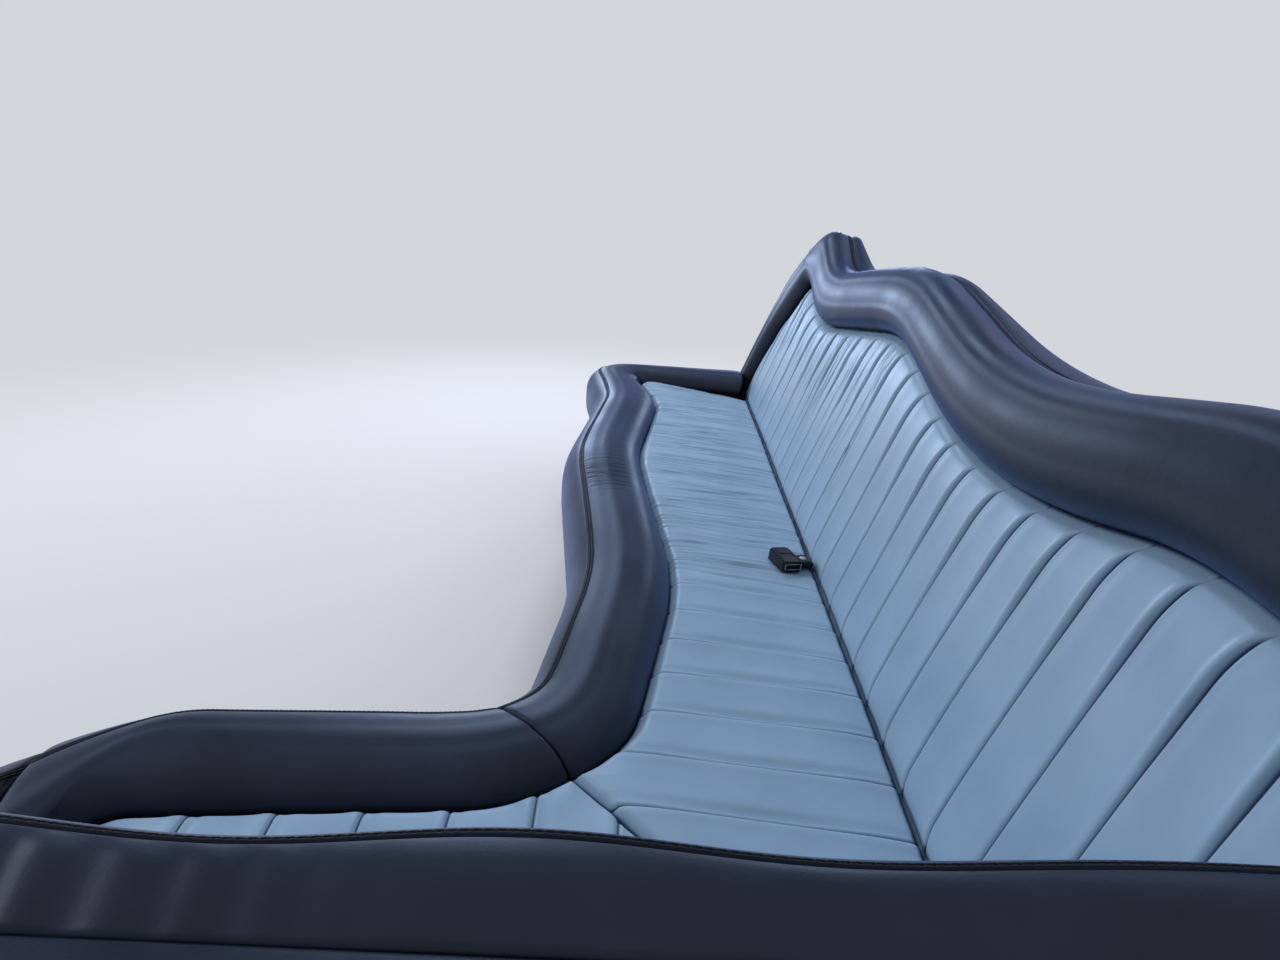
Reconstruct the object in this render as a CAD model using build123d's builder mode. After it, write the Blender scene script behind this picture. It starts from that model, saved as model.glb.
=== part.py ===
from build123d import *
from math import ceil, cos, radians, sin
import os

os.makedirs("parts", exist_ok=True)

# Lounge bench of a stretched limousine cabin, in millimetres.
# Y runs along the side wall, X runs across the cabin towards that wall, Z is up.
# The origin is on the floor, below the middle of the whole bench.

# Overall box
BENCH_LENGTH = 2560.0
BENCH_WIDTH = 1320.0
WALL_X = BENCH_WIDTH / 2
OPEN_X = -BENCH_WIDTH / 2
PARTITION_Y = -BENCH_LENGTH / 2
FAR_Y = BENCH_LENGTH / 2

# The crease is the line where the seat meets the backrest
SIDE_BACK_SPACE = 245.0
FRONT_BACK_SPACE = 220.0
CREASE_HEIGHT = 320.0
CREASE_X = WALL_X - SIDE_BACK_SPACE
CREASE_Y = PARTITION_Y + FRONT_BACK_SPACE
SEAT_RISE = 5.7          # degrees, the seat climbs away from the crease
SIDE_LEAN = 20.0         # degrees from upright
FRONT_LEAN = 17.0

# Clearance between upholstered pieces that press against each other
SEW_GAP = 0.4
# Cushions and backrests are drawn this far past the creases and the deck, then trimmed
TUCK = 60.0

# Base
DECK_HEIGHT = 240.0
DECK_THICK = 18.0
DECK_INSET = 12.0
PLINTH_INSET = 45.0
PLINTH_THICK = 18.0
RAIL_THICK = 18.0
RIB_THICK = 15.0
BASE_HEIGHT = DECK_HEIGHT - DECK_THICK
SIDE_RIBS = (-0.36, -0.12, 0.14, 0.38)      # places along the bench, shares of its length
FRONT_RIBS = (-0.38, -0.16)                 # places across the bench, shares of its width

# Seat roll, the dark padded edge in front of the light insert
ROLL_TOP = 376.0
ROLL_FRONT_RADIUS = 62.0
ROLL_SEAM_FALL = 24.0               # the roll's top falls at 45 degrees to its seam
ROLL_WIDTH = 172.0
CORNER_SEAM = (330.0, 340.0)        # seam corner, distance from side crease and front crease
CORNER_SEAM_RADIUS = 220.0
CORNER_EDGE = (460.0, 500.0)        # outer corner, from the same two creases
CORNER_EDGE_RADIUS = 90.0
END_SEAM = (198.0, 296.0)           # seam at the open end: from the end, from the front crease
END_SEAM_RADIUS = 70.0
END_EDGE_DEPTH = 480.0
END_EDGE_RADIUS = 280.0
FAR_SEAM = (340.0, 155.0)           # seam at the far end: from the side crease, from the end
FAR_SEAM_RADIUS = 40.0
FAR_SEAM_SKEW = 65.0
FAR_EDGE_DEPTH = 500.0              # outer corner at the far end, from the side crease
FAR_EDGE_RADIUS = 100.0
END_MITRE_PLACE = (115.0, 400.0)    # sewn seam near the open end: from the end, from the front crease
END_MITRE_TURN = 13.5               # degrees
# Columns: share of the run from corner to far end, depth from crease to seam, bend radius
SEAT_WAVE = (
    (0.287, 250.0, 900.0),
    (0.614, 319.0, 900.0),
    (0.879, 269.0, 400.0),
)

# Sewn channels of the light inserts
CHANNEL_PITCH = 89.0
FRONT_CHANNEL_PITCH = 87.5
CHANNEL_DIP = 7.0
CHANNEL_START = 336.0               # one groove line, measured from the front crease
FRONT_CHANNEL_START = 325.0         # one groove line, measured from the side crease

# Backrest
BACK_FOAM = 45.0
BACK_CROWN = 26.0
BOARD_THICK = 15.0
CREST_RADIUS = 40.0
BACK_SEAM_FALL = 22.0
SHELF_THICK = 20.0
# Columns: share of the run, seam height up the face, crest height up the face, bend radius as a
# share of the run
BACK_WAVE = (
    (0.146, 409.0, 553.0, 0.22),
    (0.212, 412.0, 547.0, 0.26),
    (0.380, 318.0, 462.0, 0.53),
    (0.622, 420.0, 549.0, 0.31),
    (0.870, 319.0, 452.0, 0.22),
)
# Far end of the seam and of the crest. Columns: from the bench's end, height up the face, bend radius
BACK_FAR_SEAM = (
    (295.0, 395.0, 50.0),
    (155.0, 170.0, 300.0),
)
BACK_FAR_CREST = (
    (300.0, 546.0, 120.0),
    (95.0, 395.0, 160.0),
    (35.0, 150.0, 250.0),
)
BACK_FAR_FOOT = 130.0
BACK_START_SEAM = 470.0
BACK_START_CREST = 566.0
FRONT_CREST = 412.0
FRONT_SEAM_HEIGHT = 285.0
FRONT_END_STRIP = 105.0
FRONT_CORNER_RADIUS = 60.0
FRONT_SEAM_RADIUS = 50.0

# Ribs behind the backrest
SIDE_GUSSETS = (-0.40, -0.16, 0.08, 0.32)   # places along the bench, shares of its length
FRONT_GUSSETS = (-0.40, -0.12, 0.14)
GUSSET_TOP_SIDE = 720.0
GUSSET_TOP_FRONT = 640.0

# Floor brackets
BRACKET_LEG = 40.0
BRACKET_WIDTH = 50.0
BRACKET_STEEL = 4.0
BRACKET_HOLE_RADIUS = 5.5
BRACKET_NEAR_X = 110.0              # from the wall
BRACKET_FAR_X = 560.0
FRONT_BRACKET_STEPS = (0.6, 2.2)    # places behind each other, in depths of the front backrest

# Lap belt buckle, turned almost along the crease, with its sleeve beside it
BUCKLE_LENGTH = 60.0
BUCKLE_WIDTH = 38.0
BUCKLE_THICK = 20.0
BUCKLE_CORNER = 5.0
BUCKLE_EDGE = 2.0
BUCKLE_Y = -68.0
BUCKLE_FROM_CREASE = 54.0
BUCKLE_TURN = 110.0                 # degrees, from pointing straight away from the crease
BUTTON_LENGTH = 30.0
BUTTON_WIDTH = 26.0
BUTTON_MARGIN = 5.0
BUTTON_DEPTH = 4.0
BUTTON_GAP = 0.3
BUTTON_SUNK = 0.8
SLOT_WIDTH = 26.0
SLOT_HEIGHT = 3.6
SLOT_DEPTH = 3.0
SLEEVE_LENGTH = 26.0
SLEEVE_WIDTH = 32.0
SLEEVE_THICK = 12.0
SLEEVE_EDGE = 3.0
SLEEVE_SHIFT = 5.0                  # from the buckle's middle towards its slot end
WEBBING_WIDTH = 30.0
WEBBING_THICK = 1.6
WEBBING_BEND = 2.0
WEBBING_SHOWN = 27.0                # length of webbing on the seat, in front of the crease
WEBBING_SHIFT = 10.0                # from the buckle's middle, along the crease

# Planes of the two backrest faces: local x along the bench, local y up the face,
# and the plane's normal points away from the sitter
lean = radians(SIDE_LEAN)
front_lean = radians(FRONT_LEAN)
rise = radians(SEAT_RISE)
SIDE_FACE = Plane(
    origin=(CREASE_X, 0, CREASE_HEIGHT), x_dir=(0, 1, 0), z_dir=(cos(lean), 0, -sin(lean))
)
FRONT_FACE = Plane(
    origin=(0, CREASE_Y, CREASE_HEIGHT), x_dir=(1, 0, 0), z_dir=(0, -cos(front_lean), -sin(front_lean))
)
# Vertical diagonal plane through the seat corner, its normal towards the side bench
SEAT_MITRE = Plane(origin=(CREASE_X, CREASE_Y, 0), x_dir=(0, 0, 1), z_dir=(1, 1, 0))
# Vertical plane through a seam of the roll at the open end, its normal towards the end
end_turn = radians(END_MITRE_TURN)
END_MITRE = Plane(
    origin=(OPEN_X + END_MITRE_PLACE[0], CREASE_Y + END_MITRE_PLACE[1], 0), x_dir=(0, 0, 1),
    z_dir=(-cos(end_turn), -sin(end_turn), 0),
)
# Vertical diagonal plane at the far end of the roll, its normal towards the end
FAR_MITRE = Plane(
    origin=(CREASE_X - FAR_SEAM[0], FAR_Y - FAR_SEAM[1], 0), x_dir=(0, 0, 1),
    z_dir=(FAR_SEAM[1], FAR_EDGE_DEPTH - FAR_SEAM[0], 0),
)


def outline(points, radii):
    """Draw straight runs joined by tangent arcs, closed by a straight run."""
    FilletPolyline(*points, radius=radii)
    Line(points[-1], points[0])


def seat_station(share):
    """Place along the side bench, a share of the seam's run from the corner to the far end."""
    start = CREASE_Y + CORNER_SEAM[1]
    return start + share * (FAR_Y - FAR_SEAM[1] - start)


def seat_outline(depths, corner, end, far, skew, rear):
    """Points of the L seen from above, from the open end round to the far end."""
    far_y = FAR_Y - far[1]
    rear_x, rear_y = rear
    points = [(OPEN_X + end[0], rear_y), (OPEN_X + end[0], CREASE_Y + end[1])]
    points.append((CREASE_X - corner[0], CREASE_Y + corner[1]))
    for (share, _, _), depth in zip(SEAT_WAVE, depths):
        points.append((CREASE_X - depth, seat_station(share)))
    points.append((CREASE_X - far[0], far_y))
    points.append((rear_x, far_y - skew * (rear_x - CREASE_X + far[0]) / far[0]))
    points.append((rear_x, rear_y))
    return points


def seam_points(rear):
    depths = [depth for _, depth, _ in SEAT_WAVE]
    return seat_outline(depths, CORNER_SEAM, END_SEAM, FAR_SEAM, FAR_SEAM_SKEW, rear)


def edge_points(rear):
    depths = [depth + ROLL_WIDTH for _, depth, _ in SEAT_WAVE]
    return seat_outline(depths, CORNER_EDGE, (0, END_EDGE_DEPTH), (FAR_EDGE_DEPTH, 0), 0, rear)


wave_radii = [radius for _, _, radius in SEAT_WAVE]
seam_radii = [END_SEAM_RADIUS, CORNER_SEAM_RADIUS, *wave_radii, FAR_SEAM_RADIUS, 0]
edge_radii = [END_EDGE_RADIUS, CORNER_EDGE_RADIUS, *wave_radii, FAR_EDGE_RADIUS, 0]

# Cushions reach a little past the creases before the backrest planes trim them
cushion_rear = (CREASE_X + TUCK, CREASE_Y - TUCK)

# Seat roll, cut out whole and then parted at its three sewn seams
with BuildLine() as roll_edge:
    outline(edge_points(cushion_rear), edge_radii)
with BuildLine() as roll_seam:
    outline(seam_points(cushion_rear), seam_radii)
roll_height = Vector(0, 0, ROLL_TOP)
top_edge = roll_edge.wire().translate(roll_height)
top_seam = roll_seam.wire().translate(roll_height)
with BuildPart() as roll:
    with BuildSketch(Plane.XY.offset(DECK_HEIGHT)):
        make_face(roll_edge.edges())
        make_face(roll_seam.edges(), mode=Mode.SUBTRACT)
    extrude(amount=ROLL_TOP - DECK_HEIGHT)
    top = roll.faces().sort_by(Axis.Z)[-1]
    chamfer(top.edges().filter_by(lambda e: top_seam.distance_to(e @ 0.5) < 0.1), ROLL_SEAM_FALL)
    top = roll.faces().sort_by(Axis.Z)[-1]
    outer = roll.edges().filter_by(
        lambda e: top_edge.distance_to(e @ 0.5) < 0.1 and top_edge.distance_to(e @ 0.1) < 0.1
    )
    outer = outer.filter_by(lambda e: (e @ 0.5).X < cushion_rear[0] - 1)
    outer = outer.filter_by(lambda e: (e @ 0.5).Y > cushion_rear[1] + 1)
    fillet(outer, ROLL_FRONT_RADIUS)
    split(bisect_by=SIDE_FACE.offset(-SEW_GAP), keep=Keep.BOTTOM)
    split(bisect_by=FRONT_FACE.offset(-SEW_GAP), keep=Keep.BOTTOM)

with BuildPart() as seat_roll_side:
    add(roll.part)
    split(bisect_by=SEAT_MITRE, keep=Keep.TOP)
    split(bisect_by=FAR_MITRE, keep=Keep.BOTTOM)
seat_roll_side.part.label = "seat_roll_side"
export_step(seat_roll_side.part, "parts/seat_roll_side.step")

with BuildPart() as seat_roll_far_end:
    add(roll.part)
    split(bisect_by=FAR_MITRE, keep=Keep.TOP)
    split(bisect_by=SIDE_FACE.offset(-BACK_CROWN - SEW_GAP), keep=Keep.BOTTOM)
seat_roll_far_end.part.label = "seat_roll_far_end"
export_step(seat_roll_far_end.part, "parts/seat_roll_far_end.step")

with BuildPart() as seat_roll_front:
    add(roll.part)
    split(bisect_by=SEAT_MITRE, keep=Keep.BOTTOM)
    split(bisect_by=END_MITRE, keep=Keep.BOTTOM)
seat_roll_front.part.label = "seat_roll_front"
export_step(seat_roll_front.part, "parts/seat_roll_front.step")

with BuildPart() as seat_roll_open_end:
    add(roll.part)
    split(bisect_by=SEAT_MITRE, keep=Keep.BOTTOM)
    split(bisect_by=END_MITRE, keep=Keep.TOP)
    split(bisect_by=FRONT_FACE.offset(-BACK_CROWN - SEW_GAP), keep=Keep.BOTTOM)
seat_roll_open_end.part.label = "seat_roll_open_end"
export_step(seat_roll_open_end.part, "parts/seat_roll_open_end.step")


def flutes(first, pitch, count, crown, underside):
    """Row of shallow arches side by side, closed by a flat underside."""
    groove = crown - CHANNEL_DIP
    for number in range(count):
        start = first + number * pitch
        ThreePointArc((start, groove), (start + pitch / 2, crown), (start + pitch, groove))
    end = first + count * pitch
    Polyline((end, groove), (end, -underside), (first, -underside), (first, groove))


def flute_rows(low, high, groove, pitch):
    """First groove line at or below the low end, and the arches needed to pass the high end."""
    first = groove - ceil((groove - low) / pitch) * pitch
    return first, ceil((high - first) / pitch)


# Light seat inserts: cushions with channels that run from the crease to the roll
INSERT_HEIGHT = ROLL_TOP - DECK_HEIGHT
side_rows = flute_rows(PARTITION_Y, FAR_Y, CREASE_Y + CHANNEL_START, CHANNEL_PITCH)
front_rows = flute_rows(OPEN_X, WALL_X, CREASE_X - FRONT_CHANNEL_START, FRONT_CHANNEL_PITCH)
side_seat_grain = Plane(
    origin=(CREASE_X, 0, CREASE_HEIGHT), x_dir=(0, 1, 0), z_dir=(cos(rise), 0, -sin(rise))
)
front_seat_grain = Plane(
    origin=(0, CREASE_Y, CREASE_HEIGHT), x_dir=(1, 0, 0), z_dir=(0, -cos(rise), -sin(rise))
)

with BuildLine() as cushion_seam:
    outline(seam_points(cushion_rear), seam_radii)
with BuildPart() as cushion:
    with BuildSketch(Plane.XY.offset(DECK_HEIGHT)):
        make_face(cushion_seam.edges())
        offset(amount=-SEW_GAP)
    extrude(amount=INSERT_HEIGHT)
    split(bisect_by=SIDE_FACE.offset(-SEW_GAP), keep=Keep.BOTTOM)
    split(bisect_by=FRONT_FACE.offset(-SEW_GAP), keep=Keep.BOTTOM)

with BuildPart() as seat_insert_side:
    add(cushion.part)
    split(bisect_by=SEAT_MITRE.offset(SEW_GAP / 2), keep=Keep.TOP)
    with BuildSketch(side_seat_grain.offset(-BENCH_WIDTH)):
        with BuildLine():
            flutes(*side_rows[:1], CHANNEL_PITCH, side_rows[1], 0, INSERT_HEIGHT * 2)
        make_face()
    extrude(amount=BENCH_WIDTH * 2, mode=Mode.INTERSECT)
    with BuildSketch(SIDE_FACE.offset(-SEW_GAP)):
        with Locations((BUCKLE_Y + WEBBING_SHIFT, 0)):
            Rectangle(WEBBING_WIDTH + SEW_GAP * 4, DECK_HEIGHT * 2)
    extrude(amount=-(WEBBING_THICK + SEW_GAP * 4), mode=Mode.SUBTRACT)
seat_insert_side.part.label = "seat_insert_side"
export_step(seat_insert_side.part, "parts/seat_insert_side.step")

with BuildPart() as seat_insert_front:
    add(cushion.part)
    split(bisect_by=SEAT_MITRE.offset(-SEW_GAP / 2), keep=Keep.BOTTOM)
    with BuildSketch(front_seat_grain.offset(-BENCH_WIDTH)):
        with BuildLine():
            flutes(*front_rows[:1], FRONT_CHANNEL_PITCH, front_rows[1], 0, INSERT_HEIGHT * 2)
        make_face()
    extrude(amount=BENCH_WIDTH * 2, mode=Mode.INTERSECT)
seat_insert_front.part.label = "seat_insert_front"
export_step(seat_insert_front.part, "parts/seat_insert_front.step")

# Side backrest: outlines drawn on the leaning face, local x along the bench, local y up the face
back_foot = (DECK_HEIGHT - CREASE_HEIGHT) / cos(lean) - TUCK
back_run = BENCH_LENGTH - BACK_FAR_SEAM[0][0]
back_end = FAR_Y - BACK_FAR_CREST[-1][0]


def back_outline(start, wave, far, end):
    """Points of a wavy outline from the partition to the far end, closed below the deck."""
    points = [(start[0], back_foot), start]
    points += [(PARTITION_Y + share * back_run, height) for share, height in wave]
    points += [(FAR_Y - inset, height) for inset, height, _ in far]
    return [*points, *end, (end[-1][0] if end else points[-1][0], back_foot)]


bends = [bend * back_run for _, _, _, bend in BACK_WAVE]
side_seam_points = back_outline(
    (PARTITION_Y - TUCK, BACK_START_SEAM), [(share, seam) for share, seam, _, _ in BACK_WAVE],
    BACK_FAR_SEAM, [(FAR_Y - BACK_FAR_FOOT, 0)],
)
side_seam_radii = [0, *bends, *[bend for _, _, bend in BACK_FAR_SEAM], 0]
side_crest_points = back_outline(
    (PARTITION_Y, BACK_START_CREST), [(share, crest) for share, _, crest, _ in BACK_WAVE],
    BACK_FAR_CREST, [],
)
side_crest_radii = [0, *bends, *[bend for _, _, bend in BACK_FAR_CREST]]


def lowered(points, drop):
    """The same outline with its crest let down and its far side drawn in."""
    inner = [(min(x, back_end - drop), y - drop) for x, y in points]
    return [points[0], *inner[1:-1], (back_end - drop, points[-1][1])]


# Light insert of the side backrest, its channels running up the face
with BuildPart() as side_back_insert:
    with BuildSketch(SIDE_FACE):
        with BuildLine():
            outline(side_seam_points, side_seam_radii)
        make_face()
        offset(amount=-SEW_GAP)
    extrude(amount=BACK_FOAM)
    flute_plane = Plane(
        origin=SIDE_FACE.from_local_coords((0, back_foot, 0)), x_dir=(0, 1, 0),
        z_dir=(sin(lean), 0, cos(lean)),
    )
    with BuildSketch(flute_plane):
        with BuildLine():
            flutes(*side_rows[:1], CHANNEL_PITCH, side_rows[1], 0, BACK_FOAM)
        make_face()
    extrude(amount=BENCH_WIDTH, mode=Mode.INTERSECT)
    split(bisect_by=Plane.XY.offset(DECK_HEIGHT + SEW_GAP), keep=Keep.TOP)
    split(bisect_by=Plane.XZ.offset(-PARTITION_Y), keep=Keep.BOTTOM)
side_back_insert.part.label = "side_back_insert"
export_step(side_back_insert.part, "parts/side_back_insert.step")

# Dark padding round the insert, parted at the far corner
with BuildLine() as crest_line:
    outline(side_crest_points, side_crest_radii)
with BuildLine() as back_seam_line:
    outline(side_seam_points, side_seam_radii)
side_front_face = SIDE_FACE.offset(-BACK_CROWN)
crest_wire = side_front_face.from_local_coords(crest_line.wire())
back_seam_wire = side_front_face.from_local_coords(back_seam_line.wire())
with BuildPart() as side_padding:
    with BuildSketch(side_front_face):
        make_face(crest_line.edges())
        make_face(back_seam_line.edges(), mode=Mode.SUBTRACT)
    extrude(amount=BACK_CROWN + BACK_FOAM)
    near = side_padding.edges().filter_by(lambda e: abs(side_front_face.to_local_coords(e @ 0.5).Z) < 0.01)
    chamfer(near.filter_by(lambda e: back_seam_wire.distance_to(e @ 0.5) < 0.1), BACK_SEAM_FALL)
    near = side_padding.edges().filter_by(lambda e: abs(side_front_face.to_local_coords(e @ 0.5).Z) < 0.01)
    near = near.filter_by(lambda e: crest_wire.distance_to(e @ 0.5) < 0.1)
    near = near.filter_by(lambda e: (e @ 0.5).Y > PARTITION_Y + 1)
    fillet(near, CREST_RADIUS)
    split(bisect_by=Plane.XY.offset(DECK_HEIGHT + SEW_GAP), keep=Keep.TOP)

# The padding's two pieces meet in a mitre from the insert's corner to the crest's far corner
inner_corner = SIDE_FACE.from_local_coords((FAR_Y - BACK_FAR_SEAM[0][0], BACK_FAR_SEAM[0][1], 0))
outer_corner = SIDE_FACE.from_local_coords((
    FAR_Y - (BACK_FAR_CREST[0][0] + BACK_FAR_CREST[1][0]) / 2,
    (BACK_FAR_CREST[0][1] + BACK_FAR_CREST[1][1]) / 2, 0,
))
PADDING_MITRE = Plane(
    origin=inner_corner, x_dir=SIDE_FACE.z_dir, z_dir=(outer_corner - inner_corner).cross(SIDE_FACE.z_dir)
)
with BuildPart() as side_back_roll:
    add(side_padding.part)
    split(bisect_by=PADDING_MITRE, keep=Keep.BOTTOM)
side_back_roll.part.label = "side_back_roll"
export_step(side_back_roll.part, "parts/side_back_roll.step")

with BuildPart() as side_back_end_strip:
    add(side_padding.part)
    split(bisect_by=PADDING_MITRE, keep=Keep.TOP)
side_back_end_strip.part.label = "side_back_end_strip"
export_step(side_back_end_strip.part, "parts/side_back_end_strip.step")

# Plywood board that carries the padding, its crest one shelf lower than the padding's
with BuildPart() as side_back_board:
    with BuildSketch(SIDE_FACE.offset(BACK_FOAM)):
        with BuildLine():
            outline(lowered(side_crest_points, SHELF_THICK), side_crest_radii)
        make_face()
    extrude(amount=BOARD_THICK)
    split(bisect_by=Plane.XY.offset(DECK_HEIGHT), keep=Keep.TOP)
    split(bisect_by=Plane.YZ.offset(WALL_X), keep=Keep.BOTTOM)
side_back_board.part.label = "side_back_board"
export_step(side_back_board.part, "parts/side_back_board.step")

# Covered shelf between the crest and the side wall, as wavy as the crest
shelf_top = side_crest_points[1:-2]
shelf_radii = [*bends, BACK_FAR_CREST[0][2]]
with BuildPart() as side_back_shelf:
    with BuildSketch(SIDE_FACE.offset(BACK_FOAM)):
        with BuildLine():
            FilletPolyline(*shelf_top, radius=shelf_radii)
            FilletPolyline(*[(x, y - SHELF_THICK) for x, y in shelf_top], radius=shelf_radii)
            Line(shelf_top[0], (shelf_top[0][0], shelf_top[0][1] - SHELF_THICK))
            Line(shelf_top[-1], (shelf_top[-1][0], shelf_top[-1][1] - SHELF_THICK))
        make_face()
    extrude(amount=SIDE_BACK_SPACE, dir=(1, 0, 0))
    split(bisect_by=Plane.YZ.offset(WALL_X), keep=Keep.BOTTOM)
side_back_shelf.part.label = "side_back_shelf"
export_step(side_back_shelf.part, "parts/side_back_shelf.step")

# Plywood ribs that hold the side board up, standing on the deck against the wall
board_back = SIDE_FACE.offset(BACK_FOAM + BOARD_THICK)
with BuildPart() as side_back_ribs:
    for share in SIDE_GUSSETS:
        with BuildSketch(Plane.XZ.offset(-share * BENCH_LENGTH)):
            with Locations((CREASE_X + SIDE_BACK_SPACE / 2, (DECK_HEIGHT + GUSSET_TOP_SIDE) / 2)):
                Rectangle(SIDE_BACK_SPACE, GUSSET_TOP_SIDE - DECK_HEIGHT)
        extrude(amount=RIB_THICK)
    split(bisect_by=board_back, keep=Keep.TOP)
side_back_ribs.part.label = "side_back_ribs"
export_step(side_back_ribs.part, "parts/side_back_ribs.step")

# Front backrest, which stops against the side backrest's face
front_foot = (DECK_HEIGHT - CREASE_HEIGHT) / cos(front_lean) - TUCK
butt = SIDE_FACE.offset(-SEW_GAP)
insert_left = OPEN_X + FRONT_END_STRIP
front_seam_points = [(insert_left, front_foot), (insert_left, FRONT_SEAM_HEIGHT)]
front_seam_points += [(WALL_X, FRONT_SEAM_HEIGHT), (WALL_X, front_foot)]
front_seam_radii = [FRONT_SEAM_RADIUS, 0]
front_crest_points = [(OPEN_X, front_foot), (OPEN_X, FRONT_CREST)]
front_crest_points += [(WALL_X, FRONT_CREST), (WALL_X, front_foot)]
front_crest_radii = [FRONT_CORNER_RADIUS, 0]

with BuildPart() as front_back_insert:
    with BuildSketch(FRONT_FACE):
        with BuildLine():
            outline(front_seam_points, front_seam_radii)
        make_face()
        offset(amount=-SEW_GAP)
    extrude(amount=BACK_FOAM)
    flute_plane = Plane(
        origin=FRONT_FACE.from_local_coords((0, front_foot, 0)), x_dir=(1, 0, 0),
        z_dir=(0, -sin(front_lean), cos(front_lean)),
    )
    with BuildSketch(flute_plane):
        with BuildLine():
            flutes(*front_rows[:1], FRONT_CHANNEL_PITCH, front_rows[1], 0, BACK_FOAM)
        make_face()
    extrude(amount=BENCH_WIDTH, mode=Mode.INTERSECT)
    split(bisect_by=Plane.XY.offset(DECK_HEIGHT + SEW_GAP), keep=Keep.TOP)
    split(bisect_by=butt, keep=Keep.BOTTOM)
front_back_insert.part.label = "front_back_insert"
export_step(front_back_insert.part, "parts/front_back_insert.step")

front_front_face = FRONT_FACE.offset(-BACK_CROWN)
with BuildLine() as front_crest_line:
    outline(front_crest_points, front_crest_radii)
with BuildLine() as front_seam_line:
    outline(front_seam_points, front_seam_radii)
front_crest_wire = front_front_face.from_local_coords(front_crest_line.wire())
front_seam_wire = front_front_face.from_local_coords(front_seam_line.wire())
with BuildPart() as front_padding:
    with BuildSketch(front_front_face):
        make_face(front_crest_line.edges())
        make_face(front_seam_line.edges(), mode=Mode.SUBTRACT)
    extrude(amount=BACK_CROWN + BACK_FOAM)
    near = front_padding.edges().filter_by(lambda e: abs(front_front_face.to_local_coords(e @ 0.5).Z) < 0.01)
    near = near.filter_by(lambda e: (e @ 0.5).X < WALL_X - 1)
    chamfer(near.filter_by(lambda e: front_seam_wire.distance_to(e @ 0.5) < 0.1), BACK_SEAM_FALL)
    near = front_padding.edges().filter_by(lambda e: abs(front_front_face.to_local_coords(e @ 0.5).Z) < 0.01)
    near = near.filter_by(lambda e: (e @ 0.5).X < WALL_X - 1)
    near = near.filter_by(lambda e: front_crest_wire.distance_to(e @ 0.5) < 0.1)
    fillet(near.filter_by(lambda e: (e @ 0.5).Z > DECK_HEIGHT), CREST_RADIUS)
    split(bisect_by=Plane.XY.offset(DECK_HEIGHT + SEW_GAP), keep=Keep.TOP)
    split(bisect_by=butt, keep=Keep.BOTTOM)

# The front padding is parted like the side one, on the diagonal of its free corner
free_corner = FRONT_FACE.from_local_coords((insert_left, FRONT_SEAM_HEIGHT, 0))
along = FRONT_FACE.from_local_coords((OPEN_X, FRONT_CREST, 0)) - free_corner
FRONT_PADDING_MITRE = Plane(
    origin=free_corner, x_dir=FRONT_FACE.z_dir, z_dir=FRONT_FACE.z_dir.cross(along)
)
with BuildPart() as front_back_roll:
    add(front_padding.part)
    split(bisect_by=FRONT_PADDING_MITRE, keep=Keep.BOTTOM)
front_back_roll.part.label = "front_back_roll"
export_step(front_back_roll.part, "parts/front_back_roll.step")

with BuildPart() as front_back_end_strip:
    add(front_padding.part)
    split(bisect_by=FRONT_PADDING_MITRE, keep=Keep.TOP)
front_back_end_strip.part.label = "front_back_end_strip"
export_step(front_back_end_strip.part, "parts/front_back_end_strip.step")

shelf_edge = FRONT_FACE.from_local_coords((0, FRONT_CREST, BACK_FOAM))
with BuildPart() as front_back_board:
    with BuildSketch(FRONT_FACE.offset(BACK_FOAM)):
        with BuildLine():
            board_top = FRONT_CREST - SHELF_THICK
            board_left = OPEN_X + SHELF_THICK
            board_points = [(board_left, front_foot), (board_left, board_top), (WALL_X, board_top)]
            outline([*board_points, (WALL_X, front_foot)], front_crest_radii)
        make_face()
    extrude(amount=BOARD_THICK)
    split(bisect_by=Plane.XY.offset(DECK_HEIGHT), keep=Keep.TOP)
    split(bisect_by=Plane.XY.offset(shelf_edge.Z - SHELF_THICK), keep=Keep.BOTTOM)
    split(bisect_by=butt, keep=Keep.BOTTOM)
front_back_board.part.label = "front_back_board"
export_step(front_back_board.part, "parts/front_back_board.step")

# Flat covered top of the front backrest, back to the cabin's partition
with BuildPart() as front_back_shelf:
    with BuildSketch(Plane.YZ.offset(OPEN_X)):
        with BuildLine():
            Polyline(
                (shelf_edge.Y, shelf_edge.Z),
                (PARTITION_Y, shelf_edge.Z),
                (PARTITION_Y, shelf_edge.Z - SHELF_THICK),
                (shelf_edge.Y + SHELF_THICK * sin(front_lean), shelf_edge.Z - SHELF_THICK),
                close=True,
            )
        make_face()
    extrude(amount=BENCH_WIDTH)
    split(bisect_by=FRONT_FACE.offset(BACK_FOAM), keep=Keep.TOP)
    split(bisect_by=butt, keep=Keep.BOTTOM)
front_back_shelf.part.label = "front_back_shelf"
export_step(front_back_shelf.part, "parts/front_back_shelf.step")

front_board_back = FRONT_FACE.offset(BACK_FOAM + BOARD_THICK)
with BuildPart() as front_back_ribs:
    for share in FRONT_GUSSETS:
        with BuildSketch(Plane.YZ.offset(share * BENCH_WIDTH)):
            with Locations((PARTITION_Y + FRONT_BACK_SPACE / 2, (DECK_HEIGHT + GUSSET_TOP_FRONT) / 2)):
                Rectangle(FRONT_BACK_SPACE, GUSSET_TOP_FRONT - DECK_HEIGHT)
        extrude(amount=RIB_THICK)
    split(bisect_by=front_board_back, keep=Keep.TOP)
front_back_ribs.part.label = "front_back_ribs"
export_step(front_back_ribs.part, "parts/front_back_ribs.step")

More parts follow.
